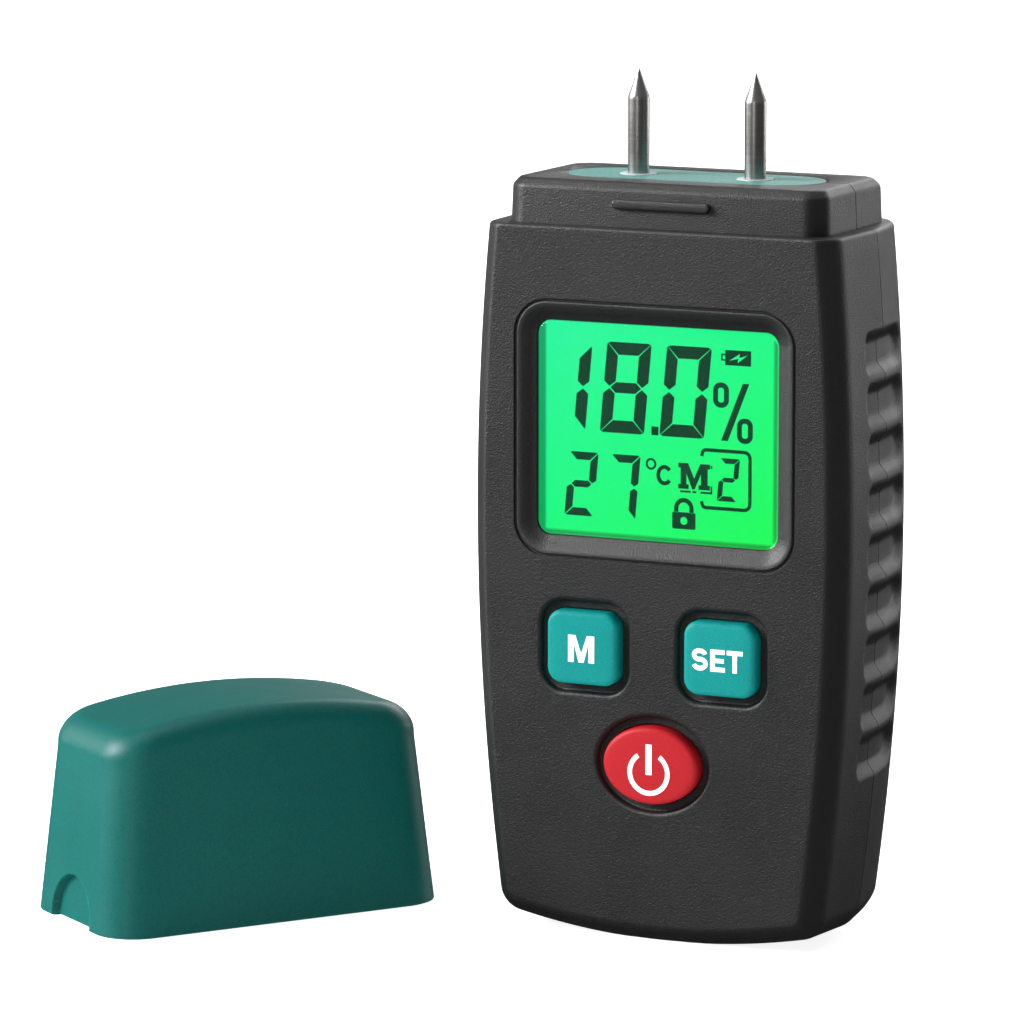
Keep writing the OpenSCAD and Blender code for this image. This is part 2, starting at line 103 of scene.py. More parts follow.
world = bpy.data.worlds.new("studio")
world.use_nodes = True
room = world.node_tree
heading = added(room, "SeparateXYZ", {0: added(room, "TexCoord").outputs["Generated"]})
wall = added(room, "MapRange", {"From Min": -0.4, "From Max": 0.25, "To Min": 0.02, "To Max": 0.2,
                                "Value": heading.outputs["Z"]}, interpolation_type="SMOOTHSTEP")
fill(room.nodes["Background"], {"Color": (1, 1, 1, 1), "Strength": wall.outputs["Result"]})
scene.world = world
scene.view_settings.view_transform = "Standard"

# each panel's name, place, target, width and height in millimetres, and watts
for name, place, target, width, height, power in (
    ("key_panel", (-920, -480, 560), (0, 0, 60), 500, 500, 22),
    ("front_left_panel", (-440, -540, 420), (0, 0, 110), 260, 260, 1.1),
    ("back_right_panel", (560, 900, 90), (0, 0, 50), 500, 180, 1.6),
    ("left_panel", (-1000, -120, 380), (0, 0, 70), 400, 700, 3),
    ("back_panel", (60, 950, 480), (0, 0, 60), 900, 380, 4.5),
    ("strip_panel", (70, -1050, 190), (0, 0, 110), 170, 380, 0.9),
    ("top_panel", (-100, 0, 1100), (0, 0, 50), 700, 700, 3.5),
):
    light = bpy.data.lights.new(name, "AREA")
    light.shape = "RECTANGLE"
    light.size = width * MM
    light.size_y = height * MM
    light.energy = power
    panel = bpy.data.objects.new(name, light)
    panel.visible_camera = False
    look_from(panel, place, target)
    scene.collection.objects.link(panel)


# ---------------------------------------------------------------------------
# Front shell: the black ABS moulding that holds the window, the keys and the front half of the head.
# Its sides bow out to the waist and carry grip grooves; a broad chamfer runs round the front face.
# The mould was spark-eroded, so the whole outside has a fine even grain.

HALF_W, SIDE_R, WAIST_Z = 29.0, 410.0, 60.0
BASE_R, CORNER_R, FLAT_CUT, SHOULDER_R = 105.0, 4.5, 0.9, 0.7
CASE_TOP, FRONT_Y, BACK_Y = 100.0, -14.5, 14.5
PARTING = 0.07          # half the width of the joint line between the shells
INNER_Y = 12.3          # inner face of the front wall, and of the back wall
GROOVE_TOP, GROOVE_PITCH, GROOVES, GROOVE_DEEP = 83.4, 7.05, 9, 1.2
GROOVE_HALF, GROOVE_WALL = 3.3, 0.6     # half a groove's height, and the part of it that slopes
SCREWS = [(-19, 94), (19, 94), (-18, 12), (18, 12)]     # (x, z) of the four case screws


def step(t):
    """Smooth step from 0 to 1 as t goes from 0 to 1."""
    t = np.clip(t, 0, 1)
    return t * t * (3 - 2 * t)


def eased(points, radii, count=7):
    """A line through points whose inner corners are rounded: each is a quadratic curve that starts and
    ends one radius away from the corner."""
    points = np.asarray(points, float)
    out = [points[:1]]
    t = np.linspace(0, 1, count)[:, None]
    for before, at, after, r in zip(points, points[1:], points[2:], radii):
        a = at + (before - at) / np.linalg.norm(before - at) * r
        b = at + (after - at) / np.linalg.norm(after - at) * r
        out.append((1 - t) ** 2 * a + 2 * t * (1 - t) * at + t**2 * b)
    out.append(points[-1:])
    return np.concatenate(out)


def refined(line, gap):
    """The same line with more points, so that no two neighbours are further apart than gap."""
    parts = [
        a + (b - a) * np.linspace(0, 1, max(int(np.ceil(np.linalg.norm(b - a) / gap)), 1), endpoint=False)[:, None]
        for a, b in zip(line, line[1:])
    ]
    return np.concatenate(parts + [line[-1:]])


def case_rings(profile, top_drop, grooved):
    """Rings round the case, one for each (y, inset) of the profile. Each follows the top edge, the bowed
    side (a circle of SIDE_R), the bottom corner and the bowed bottom (a circle of BASE_R), then mirrors.
    The corner's centre is where circles one corner radius inside the side and the bottom cross.
    A groove's depth falls to nothing within a rounded stroke: distance is taken across and along it."""
    y, inset = profile[:, :1], profile[:, 1:2]
    rs, rb = SIDE_R - inset, BASE_R - inset
    rc = np.maximum(CORNER_R - inset, 1)
    side_c = np.array([HALF_W - SIDE_R, WAIST_Z])
    base_c = np.array([0, BASE_R - FLAT_CUT])
    span = base_c - side_c
    gap = np.hypot(*span)
    along = ((rs - rc) ** 2 - (rb - rc) ** 2 + gap**2) / (2 * gap)
    across = np.sqrt((rs - rc) ** 2 - along**2)
    ux, uz = span / gap
    cx, cz = side_c[0] + along * ux + across * uz, side_c[1] + along * uz - across * ux
    low = np.arctan2(cz - side_c[1], cx - side_c[0])
    turn = np.arctan2(cz - base_c[1], cx - base_c[0])
    top, ease = CASE_TOP - top_drop[:, None], SHOULDER_R
    high = np.arcsin((top - ease - WAIST_Z) / (rs - ease))
    tx, tz = side_c[0] + (rs - ease) * np.cos(high), side_c[1] + (rs - ease) * np.sin(high)
    parts = []
    t = np.linspace(0, 1, 14, endpoint=False)
    parts.append((tx * t, top + 0 * t))
    a = math.pi / 2 + (high - math.pi / 2) * np.linspace(0, 1, 7, endpoint=False)
    parts.append((tx + ease * np.cos(a), tz + ease * np.sin(a)))
    a = high + (low - high) * np.linspace(0, 1, 280, endpoint=False)
    z = side_c[1] + rs * np.sin(a)
    dent = 0 * z
    if grooved:
        ends = np.maximum(np.maximum((-4.6 - y) / 1.5, (y - 6) / 5), 0)
        for k in range(GROOVES):
            reach = np.hypot((z - GROOVE_TOP + k * GROOVE_PITCH) / GROOVE_HALF, ends)
            dent = np.maximum(dent, GROOVE_DEEP * step((1 - reach) / GROOVE_WALL))
    parts.append((side_c[0] + (rs - dent) * np.cos(a), side_c[1] + (rs - dent) * np.sin(a)))
    a = low + (turn - low) * np.linspace(0, 1, 16, endpoint=False)
    parts.append((cx + rc * np.cos(a), cz + rc * np.sin(a)))
    a = turn + (-math.pi / 2 - turn) * np.linspace(0, 1, 40)
    parts.append((base_c[0] + rb * np.cos(a), base_c[1] + rb * np.sin(a)))
    x = np.concatenate([p[0] for p in parts], axis=1)
    z = np.maximum(np.concatenate([p[1] for p in parts], axis=1), 0)
    x = np.concatenate([x, -x[:, -2:0:-1]], axis=1)
    z = np.concatenate([z, z[:, -2:0:-1]], axis=1)
    return np.stack([x, y + 0 * x, z], axis=-1)


def skin(rings, closed=True):
    """The quads between neighbouring rings of a (rings, points, 3) array."""
    rows, cols = rings.shape[:2]
    i = np.arange(rows * cols).reshape(rows, cols)
    if closed:
        i = np.concatenate([i, i[:, :1]], axis=1)
    quads = np.stack([i[:-1, :-1], i[:-1, 1:], i[1:, 1:], i[1:, :-1]], axis=-1).reshape(-1, 4)
    return rings.reshape(-1, 3), quads


def cover(loops, level, axis=1):
    """A flat sheet between closed loops, at one level along an axis. The loops' points are joined by a
    Delaunay mesh that keeps their edges, and a triangle stays if a line from its middle crosses the
    loops an odd number of times."""
    across = [k for k in range(3) if k != axis]
    loops = [np.asarray(loop)[:, across] if np.shape(loop)[1] == 3 else np.asarray(loop) for loop in loops]
    ends = np.cumsum([0] + [len(loop) for loop in loops])
    edges = np.concatenate(
        [np.stack([np.arange(a, b), np.roll(np.arange(a, b), -1)], 1) for a, b in zip(ends, ends[1:])]
    )
    points = np.concatenate(loops)
    made = geometry.delaunay_2d_cdt([Vector(p) for p in points.tolist()], edges.tolist(), [], 0, 1e-5)
    flat, faces = np.array([tuple(v) for v in made[0]]), np.array(made[2])
    middle = flat[faces].mean(axis=1)
    (ax, ay), (bx, by) = points[edges[:, 0]].T, points[edges[:, 1]].T
    crosses = (ay > middle[:, 1:]) != (by > middle[:, 1:])
    reach = ax + (middle[:, 1:] - ay) * (bx - ax) / np.where(by == ay, 1, by - ay)
    kept = (crosses & (reach > middle[:, :1])).sum(axis=1) % 2 == 1
    return np.insert(flat, axis, level, axis=1), faces[kept]


def rounded_rings(w, h, r, profile, centre=(0.0, 0.0), count=14):
    """Rings in upright planes, one for each (offset, y): a rectangle w by h with corners of radius r,
    grown by the offset, with its corners grown as much."""
    offset, y = profile[:, :1], profile[:, 1:2]
    radius = np.maximum(r + offset, 0.02)
    a = np.linspace(0, math.pi / 2, count)[None, :]
    x, z = [], []
    for quarter, (sx, sz) in enumerate(((1, 1), (-1, 1), (-1, -1), (1, -1))):
        turn = a + quarter * math.pi / 2
        x.append(sx * (w / 2 + offset - radius) + radius * np.cos(turn))
        z.append(sz * (h / 2 + offset - radius) + radius * np.sin(turn))
    x, z = np.concatenate(x, axis=1) + centre[0], np.concatenate(z, axis=1) + centre[1]
    return np.stack([x, y + 0 * x, z], axis=-1)


def oval_rings(w, h, profile, centre=(0.0, 0.0), count=96):
    """Rings in upright planes, one for each (offset, y): an ellipse w by h grown by the offset."""
    offset, y = profile[:, :1], profile[:, 1:2]
    a = np.linspace(0, 2 * math.pi, count, endpoint=False)[None, :]
    x = (w / 2 + offset) * np.cos(a) + centre[0]
    return np.stack([x, y + 0 * x, (h / 2 + offset) * np.sin(a) + centre[1]], axis=-1)


def joined(parts):
    """Several (points, faces) parts as one."""
    points, faces, start = [], [], 0
    for part_points, part_faces in parts:
        points.append(np.asarray(part_points, float).reshape(-1, 3))
        faces += [tuple(int(i) + start for i in face) for face in part_faces]
        start += len(points[-1])
    return np.concatenate(points), faces


def piece(name, parts, material, body, replaces=(), crease=35):
    """Joins (points in millimetres, faces) parts into one piece that rides on a body."""
    points, faces = joined(parts)
    mesh = bpy.data.meshes.new(name)
    mesh.from_pydata((points * MM).tolist(), [], faces)
    bm = bmesh.new()
    bm.from_mesh(mesh)
    bmesh.ops.remove_doubles(bm, verts=bm.verts, dist=2e-6)
    bmesh.ops.dissolve_degenerate(bm, edges=bm.edges, dist=1e-7)
    bmesh.ops.recalc_face_normals(bm, faces=bm.faces)
    bm.to_mesh(mesh)
    bm.free()
    mesh.shade_smooth()
    mesh.set_sharp_from_angle(angle=math.radians(crease))
    mesh.materials.append(material)
    obj = bpy.data.objects.new(name, mesh)
    scene.collection.objects.link(obj)
    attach(obj, body)
    if replaces:
        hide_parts(*replaces)
    return obj


def halved(part, side, gap):
    """The half of a closed part on one side of the plane Y = 0, stopping one gap short of it, with the
    cut closed."""
    bm = bmesh.new()
    verts = [bm.verts.new(p) for p in np.asarray(part[0], float).tolist()]
    for face in part[1]:
        try:
            bm.faces.new([verts[i] for i in face])
        except ValueError:
            pass
    bmesh.ops.remove_doubles(bm, verts=bm.verts, dist=1e-3)
    cut = bmesh.ops.bisect_plane(
        bm, geom=bm.verts[:] + bm.edges[:] + bm.faces[:], dist=1e-5,
        plane_co=(0, side * gap, 0), plane_no=(0, -side, 0), clear_outer=True)
    edges = [g for g in cut["geom_cut"] if isinstance(g, bmesh.types.BMEdge)]
    bmesh.ops.holes_fill(bm, edges=edges, sides=0)
    bmesh.ops.triangulate(bm, faces=[f for f in bm.faces if len(f.verts) > 4])
    bm.verts.index_update()
    points = np.array([tuple(v.co) for v in bm.verts])
    faces = [[v.index for v in f.verts] for f in bm.faces]
    bm.free()
    return points, faces


def surface(name):
    """A new material, its node tree, its shader, and the output that says where on the piece a point is."""
    mat = bpy.data.materials.new(name)
    mat.use_nodes = True
    tree = mat.node_tree
    return mat, tree, tree.nodes["Principled BSDF"], added(tree, "TexCoord").outputs["Object"]


def grained_plastic(name, colour, grain=0.22, depth=0.05, rough=0.5, uneven=0.06, worn=None, shine=0.5):
    """Moulded plastic: a fine spark-eroded grain (noise about as wide as grain, in millimetres) drives the
    bump and speckles the tone; a slow noise varies the tone and the gloss; worn is (low, high, amount), the
    stretch of Y where the front face's edges round over and hands have polished them lighter."""
    mat, tree, shader, place = surface(name)

    def noise(size, detail):
        return added(tree, "TexNoise", {"Scale": 1 / (size * MM), "Detail": detail, "Vector": place}).outputs["Fac"]

    def spread(value, low, high):
        return added(tree, "MapRange", {"From Min": 0.3, "From Max": 0.7, "To Min": low, "To Max": high,
                                        "Value": value}).outputs["Result"]

    def mixed(factor, a, b, **fields):
        return added(tree, "Mix", {"Factor": factor, "A": a, "B": b}, data_type="RGBA", **fields).outputs["Result"]

    def toned(amount):
        return (*[min(c * (1 + amount), 1) for c in colour], 1)

    fine, slow = noise(grain, 3), noise(14, 4)
    shade = mixed(slow, toned(-uneven), toned(uneven))
    shade = mixed(1, shade, spread(fine, 0.78, 1.22), blend_type="MULTIPLY")
    if worn:
        low, high, amount = worn
        split = added(tree, "SeparateXYZ", {0: place})
        band = added(tree, "Math", {0: split.outputs["Y"], 1: (low + high) / 2 * MM, 2: (high - low) / 2 * MM},
                     operation="COMPARE")
        shade = mixed(band.outputs[0], shade, toned(amount))
    bump = added(tree, "Bump", {"Strength": 0.9, "Distance": depth * MM, "Height": fine})
    fill(shader, {"Base Color": shade, "Specular IOR Level": shine, "Normal": bump.outputs["Normal"],
                  "Roughness": spread(slow, rough - 0.05, rough + 0.05)})
    return mat


black_abs = grained_plastic("black_abs", (0.008, 0.0078, 0.0082), grain=0.2, depth=0.1, rough=0.46,
                            worn=(-14.46, -13.95, 0.3))

# outer skin, from inside the front face's edge, round the chamfer and back to the joint; the top edge
# drops along a quarter circle as it meets the front face
rim = eased([(FRONT_Y, 4.2), (FRONT_Y, 3.1), (-11.8, 0.6), (-PARTING, 0)], (0.45, 1.2), 9)
rim = np.concatenate([rim[:-2], refined(rim[-2:], 0.4), [(-PARTING / 2, 0.12)]])
FRONT_EDGE_R = 0.4
past = np.maximum(FRONT_EDGE_R - rim[:, 0] + FRONT_Y, 0)
drop = FRONT_EDGE_R - np.sqrt(np.maximum(FRONT_EDGE_R**2 - past**2, 0))
drop[0] = 1.0
outside = case_rings(rim, drop, True)
# inner skin, from the inner front face back to the joint, one wall below the outer one
WALL = 2.2
liner = eased([(-INNER_Y, 5.0), (-INNER_Y, 4.0), (-9, 3.2), (-PARTING, 2.7)], (0.5, 1.0), 5)
inside = case_rings(liner, np.full(len(liner), WALL), False)
inside[0] = case_rings(liner[:1], np.array([WALL + 1]), False)[0]
joint = np.stack([inside[-1], outside[-1]])

WINDOW = dict(w=36.3, h=30.1, r=2.0, centre=(0, 71.7))
bezel = eased(
    [(3.25, FRONT_Y), (3.12, FRONT_Y), (3.05, -14.12), (2.8, -14.12), (2.7, -14.46), (2.1, -14.4), (0.7, -13.5),
     (0.08, -13.3), (0, -12.98), (0, -12.94)],
    (0.05, 0.05, 0.05, 0.22, 0.35, 0.5, 0.12, 0.03), 6)
bezel = np.concatenate([bezel, [(1.0, -12.94), (1.0, -INNER_Y)]])
bezel_rings = rounded_rings(**WINDOW, profile=bezel, count=20)

KEY = dict(w=10.8, h=10.4, r=2.2)
KEYS = {"mode": (-10.4, 41.2), "set": (10.4, 41.2)}
well = eased([(2.1, FRONT_Y), (1.4, FRONT_Y), (1.2, -13.5), (0.15, -13.5), (0.15, -INNER_Y)], (0.5, 0.25, 0.1), 7)
key_wells = [rounded_rings(**KEY, profile=well, centre=c) for c in KEYS.values()]
POWER = dict(w=14.4, h=11.0, centre=(0, 25.4))
power_well = oval_rings(**POWER, profile=well)
openings = [bezel_rings, *key_wells, power_well]

# head: a block with cut corners that the cap fits over, moulded half on each shell
HEAD_W, HEAD_D, HEAD_TOP, HEAD_CUT = 24.1, 12.1, 106.2, 2.3
HEAD_FOOT, PLATE_Z = 98.2, 104.0        # the foot of the head, and the ledge under the teal plate


def head_rings(profile):
    """Level rings, one for each (z, inset): a rectangle whose corners are cut off and then eased."""
    rings = []
    for z, inset in profile:
        w, d, c = HEAD_W - inset, HEAD_D - inset, HEAD_CUT - inset * 0.3
        corners = [(w, d - c), (w - c, d), (c - w, d), (-w, d - c), (-w, c - d), (c - w, -d), (w - c, -d),
                   (w, c - d)]
        loop = eased([(w, 0), *corners, (w, 0)], [0.9] * 8, 6)[:-1]
        rings.append(np.insert(loop, 2, z, axis=1))
    return np.array(rings)


def stadium_rings(w, d, profile):
    """Level rings, one for each (z, offset): a slot shape w long and d deep, grown by the offset."""
    rings = rounded_rings(w, d, d / 2 - 0.05, profile[:, ::-1], count=20)
    return rings[:, :, [0, 2, 1]]


PLATE_W, PLATE_D = 38, 13
head_skin = head_rings(eased([(HEAD_FOOT, 0), (105.1, 0.25), (HEAD_TOP, 1.15), (HEAD_TOP, 1.6)], (0.35, 0.35), 6))
plate_slot = stadium_rings(PLATE_W, PLATE_D,
                           np.array([(HEAD_TOP, 0.3), (HEAD_TOP - 0.12, 0.12), (PLATE_Z, 0.1)]))
head_inside = head_rings(np.array([(PLATE_Z, WALL), (HEAD_FOOT, WALL)]))
head = joined([
    skin(head_skin), cover([head_skin[-1], plate_slot[0]], HEAD_TOP, 2), skin(plate_slot),
    cover([head_inside[0], plate_slot[-1]], PLATE_Z, 2), skin(head_inside),
    cover([head_skin[0], head_inside[-1]], HEAD_FOOT, 2)])

# the ridge on the head's front that the cap snaps over
snap_edge = eased([(0, -11.5), (0, -12.52), (-0.3, -12.6)], (0.2,), 6)
snap = rounded_rings(14.7, 1.35, 0.6, snap_edge, centre=(0, 103.2))
snap_ridge = joined([skin(snap), cover([snap[-1]], snap_edge[-1, 1])])

front_parts = [
    skin(outside), cover([outside[0], *[o[0] for o in openings]], FRONT_Y), *[skin(o) for o in openings],
    cover([inside[0], *[o[-1] for o in openings]], -INNER_Y), skin(inside), skin(joint),
    halved(head, -1, PARTING), snap_ridge]

# screw bosses and board posts stand on the inner face: (x, z, radius, bore, height of the end)
bosses = [(*at, 3, 1.1, -0.4) for at in SCREWS]
board_posts = [(sx * 19.5, sz, 2.2, 0.8, -8.8) for sx in (-1, 1) for sz in (50.6, 28)]
for x, z, r, bore, end in bosses + board_posts:
    line = np.array([(0.3, -12.5), (0, -12), (0, end), (bore - r, end), (bore - r, end - 3)])
    post = oval_rings(2 * r, 2 * r, line, centre=(x, z), count=40)
    front_parts += [skin(post), cover([post[-1]], end - 3), cover([post[0]], -12.5)]
piece("front_case", front_parts, black_abs, "housing", ["front_shell"])


# ---------------------------------------------------------------------------
# Rear shell: the other black ABS moulding. Its back rounds off towards the hand, four screws hold it to
# the front shell, and a tray open to the back takes the battery.

rear = eased([(PARTING, 0), (6.5, 0.7), (INNER_Y, 2.2), (BACK_Y, 4.5), (BACK_Y, 6.2)], (3, 2.4, 1.3), 9)
rear = np.concatenate([[(PARTING / 2, 0.12)], refined(rear, 0.45)])
BACK_EDGE_R = 0.6
past = np.maximum(rear[:, 0] - BACK_Y + BACK_EDGE_R, 0)
drop = BACK_EDGE_R - np.sqrt(np.maximum(BACK_EDGE_R**2 - past**2, 0))
drop[-1] = 1.3
back_skin = case_rings(rear, drop, True)
back_liner = np.array([(PARTING, 2.7), (6, 3.4), (INNER_Y, 5.2), (INNER_Y, 6.4)])
back_inside = case_rings(back_liner, np.array([WALL, WALL, WALL, WALL + 1.2]), False)

TRAY = dict(w=28.0, h=53.95, r=0.6, centre=(0, 34.03))
TRAY_FLOOR, TRAY_UNDER = -5.7, -6.9
tray = rounded_rings(**TRAY, profile=eased(
    [(0.4, BACK_Y), (0, BACK_Y), (0, 12.2), (-0.4, 12.2), (-0.4, TRAY_FLOOR)], (0.2, 0.1, 0.1), 5))
tray_back = rounded_rings(**TRAY, profile=np.array([(0.8, INNER_Y), (0.8, TRAY_UNDER)]))
SEAT_Y = 12.5           # where a case screw's head sits, at the bottom of its well
well_line = eased([(0.4, BACK_Y), (0, BACK_Y), (0, SEAT_Y), (-1.15, SEAT_Y), (-1.15, 9)], (0.2, 0.1, 0.05), 5)
screw_wells = [oval_rings(5, 5, well_line, centre=at, count=48) for at in SCREWS]
back_parts = [
    skin(back_skin), skin(np.stack([back_inside[0], back_skin[0]])), skin(back_inside), skin(tray), skin(tray_back),
    cover([back_skin[-1], tray[0], *[w[0] for w in screw_wells]], BACK_Y), cover([tray[-1]], TRAY_FLOOR),
    cover([tray_back[-1]], TRAY_UNDER), cover([back_inside[-1], tray_back[0]], INNER_Y), halved(head, 1, PARTING),
    (snap_ridge[0] * (1, -1, 1), snap_ridge[1])]
for ring, at in zip(screw_wells, SCREWS):
    boss = oval_rings(6, 6, np.array([(0, SEAT_Y), (0, -0.3), (-1.6, -0.3), (-1.6, 3)]), centre=at, count=40)
    back_parts += [skin(ring), cover([ring[-1]], 9), skin(boss), cover([boss[-1]], 3), cover([boss[0]], SEAT_Y)]
piece("rear_case", back_parts, black_abs, "housing", ["rear_shell"])


# ---------------------------------------------------------------------------
# Battery door: a flat ABS plate on two stub pins at its foot. A ridged dish near its free end gives
# the thumb a hold to pull it open.

DOOR_X, DOOR_TOP, DOOR_IN, DOOR_AXIS = 13.7, 60.7, 12.65, (13.5, 8.35)
DISH_Z, DISH_HALF_W, DISH_HALF_H, RIDGE_PITCH = 52.6, 8.5, 5.4, 1.6
# the plate's outline in (y, z): a half circle round the pins at the foot, then up the outer face
bend = np.linspace(math.pi, 2 * math.pi, 14)
foot = np.stack([DOOR_AXIS[0] + np.cos(bend), DOOR_AXIS[1] + np.sin(bend)], 1)
door_edge = np.concatenate([[(DOOR_IN, DOOR_TOP), (12.5, DOOR_TOP - 0.15)], foot,
                            eased([(BACK_Y, 9), (BACK_Y, DOOR_TOP), (DOOR_IN, DOOR_TOP)], (0.35,), 6)])
door_edge = refined(door_edge, 0.3)[:-1]
along = np.gradient(door_edge, axis=0)
outward = np.stack([along[:, 1], -along[:, 0]], 1) / np.linalg.norm(along, axis=1)[:, None]
# the outline is carried across the door, and drawn in by setback near its two ends
end_x, end_in = np.array([0, 0.03, 0.12]), np.array([0.25, 0.12, 0.03])
setback = np.concatenate([end_in, np.zeros(93), end_in[::-1]])
x = np.concatenate([end_x - DOOR_X, np.linspace(0.25 - DOOR_X, DOOR_X - 0.25, 93), DOOR_X - end_x[::-1]])
edge = door_edge[None] - outward[None] * setback[:, None, None]
y, z = edge[..., 0], edge[..., 1]
dish = step((1 - np.hypot(x[:, None] / DISH_HALF_W, (z - DISH_Z) / DISH_HALF_H)) / 0.35)
ridges = 0.5 + 0.5 * np.cos((z - DISH_Z) * 2 * math.pi / RIDGE_PITCH)
y = y - np.where(y > 14.2, dish * (0.75 - 0.4 * ridges), 0)
door_rings = np.stack([x[:, None] + 0 * y, y, z], axis=-1)
door_parts = [skin(door_rings), cover([door_rings[0]], -DOOR_X, 0), cover([door_rings[-1]], DOOR_X, 0)]
PIN_END, PIN_ROOT = 15, 13.5
stub = oval_rings(1.4, 1.4, np.array([(-0.15, 0), (0, 0.15), (0, PIN_END - PIN_ROOT)]), count=32)
for side in (-1, 1):
    placed = np.stack([side * (PIN_END - stub[..., 1]), DOOR_AXIS[0] + stub[..., 0], DOOR_AXIS[1] + stub[..., 2]], -1)
    door_parts += [skin(placed), cover([placed[0]], side * PIN_END, 0), cover([placed[-1]], side * PIN_ROOT, 0)]
piece("door_plate", door_parts, black_abs, "door", ["battery_door"])


# ---------------------------------------------------------------------------
# Keys: ABS caps, two teal and one red, each with a flange behind the shell that keeps it in. Their
# legends are printed in white ink on the crown.

CROWN_Y = -15.6


def key_cap(rings, centre):
    """A key from its flange to its crown, closed by a cushion: rings shrink to the middle while the crown
    rises as one minus the square of their size."""
    size = np.linspace(1, 0, 12)[:, None, None]
    middle = np.array([centre[0], rings[-1, 0, 1], centre[1]])
    top = middle + (rings[-1] - middle) * size
    top[..., 1] += (CROWN_Y - middle[1]) * (1 - size[..., 0] ** 2)
    return [skin(rings), skin(top), cover([rings[0]], rings[0, 0, 1])]


def stroke(path, width):
    """The outline of a line of even width drawn along a path."""
    way = np.gradient(path, axis=0)
    out = np.stack([way[:, 1], -way[:, 0]], 1) / np.linalg.norm(way, axis=1)[:, None] * width / 2
    return np.concatenate([path + out, (path - out)[::-1]])


def turned_path(centre, radius, start, end, count=24):
    """Part of an ellipse, its two radii in radius, from one angle in degrees to another."""
    a = np.radians(np.linspace(start, end, count))
    return np.stack([centre[0] + radius[0] * np.cos(a), centre[1] + radius[1] * np.sin(a)], 1)


def printed(loops, y, thick):
    """A thin raised print: flat front and back between the loops, and a wall along each loop."""
    parts = [cover(loops, y), cover(loops, y - thick)]
    for loop in loops:
        wall = np.insert(np.asarray(loop, float), 1, y, axis=1)
        parts.append(skin(np.stack([wall, wall - (0, thick, 0)])))
    return parts


def box_loop(x0, x1, z0, z1):
    """The four corners of an upright box."""
    return np.array([(x0, z0), (x1, z0), (x1, z1), (x0, z1)], float)


press = eased([(0.9, -11.4), (0.9, -12.2), (0, -12.2), (0, -15.42), (-1.5, -15.55)], (0.1, 0.05, 0.85), 10)
teal_key = grained_plastic("teal_key", (0.0, 0.195, 0.184), grain=0.14, depth=0.015, rough=0.46, uneven=0.05,
                           shine=0.14)
red_key = grained_plastic("red_key", (0.345, 0.008, 0.013), grain=0.14, depth=0.015, rough=0.44, uneven=0.05,
                          shine=0.16)
for name, centre in KEYS.items():
    piece(f"{name}_cap", key_cap(rounded_rings(**KEY, profile=press, centre=centre), centre), teal_key,
          f"{name}_key", [f"{name}_button"])
piece("power_cap", key_cap(oval_rings(**POWER, profile=press), POWER["centre"]), red_key, "power_key",
      ["power_button"])

white_ink = grained_plastic("white_ink", (0.88, 0.9, 0.9), grain=0.1, depth=0.004, rough=0.5, uneven=0.02)
letter_m = np.array([(-2.15, -2.05), (-2.15, 2.05), (-0.95, 2.05), (0, -0.7), (0.95, 2.05), (2.15, 2.05),
                     (2.15, -2.05), (1.22, -2.05), (1.22, 0.9), (0.42, -2.05), (-0.42, -2.05), (-1.22, 0.9),
                     (-1.22, -2.05)])
letter_s = stroke(np.concatenate([turned_path((0, 0.66), (0.92, 0.64), 12, 262),
                                  turned_path((0, -0.62), (0.97, 0.68), 82, -165)]), 0.7)
letter_e = np.array([(-1.2, -1.65), (1.2, -1.65), (1.2, -0.97), (-0.42, -0.97), (-0.42, -0.33), (1.02, -0.33),
                     (1.02, 0.33), (-0.42, 0.33), (-0.42, 0.97), (1.15, 0.97), (1.15, 1.65), (-1.2, 1.65)])
letter_t = np.array([(-0.36, -1.65), (0.36, -1.65), (0.36, 0.98), (1.3, 0.98), (1.3, 1.65), (-1.3, 1.65),
                     (-1.3, 0.98), (-0.36, 0.98)])
LEGEND_Z, INK = 41.15, 0.05
set_letters = ((letter_s, 7.66), (letter_e, 10.36), (letter_t, 12.93))
power_sign = [box_loop(-0.46, 0.46, 24.2, 28.5), stroke(turned_path((0, 24.46), (2.86, 2.86), 56, -236, 64), 0.68)]
for name, loops, slot in (
    ("mode", [letter_m * 0.93 + (-10.35, LEGEND_Z)], "teal_key"),
    ("set", [glyph * (0.92, 0.94) + (x, LEGEND_Z) for glyph, x in set_letters], "teal_key"),
    ("power", power_sign, "red_key"),
):
    piece(f"{name}_legend", printed(loops, CROWN_Y + 0.03, INK), white_ink, f"{name}_key")


# ---------------------------------------------------------------------------
# Display window: a clear acrylic plate, stepped so that its front fills the opening and its rim sits
# behind the shell. Its front edge is broken, and catches a thin line of light.

def clear_acrylic(name, tint, rough):
    """Clear moulded plastic: one slow noise gives its surface a faint ripple and its gloss a few smears."""
    mat, tree, shader, place = surface(name)
    ripple = added(tree, "TexNoise", {"Scale": 1 / (9 * MM), "Vector": place}).outputs["Fac"]
    smear = added(tree, "MapRange", {"To Min": rough, "To Max": rough + 0.04, "Value": ripple})
    bump = added(tree, "Bump", {"Strength": 0.05, "Distance": 0.02 * MM, "Height": ripple})
    fill(shader, {"Base Color": (*tint, 1), "Transmission Weight": 1, "IOR": 1.35,
                  "Roughness": smear.outputs["Result"], "Normal": bump.outputs["Normal"]})
    return mat


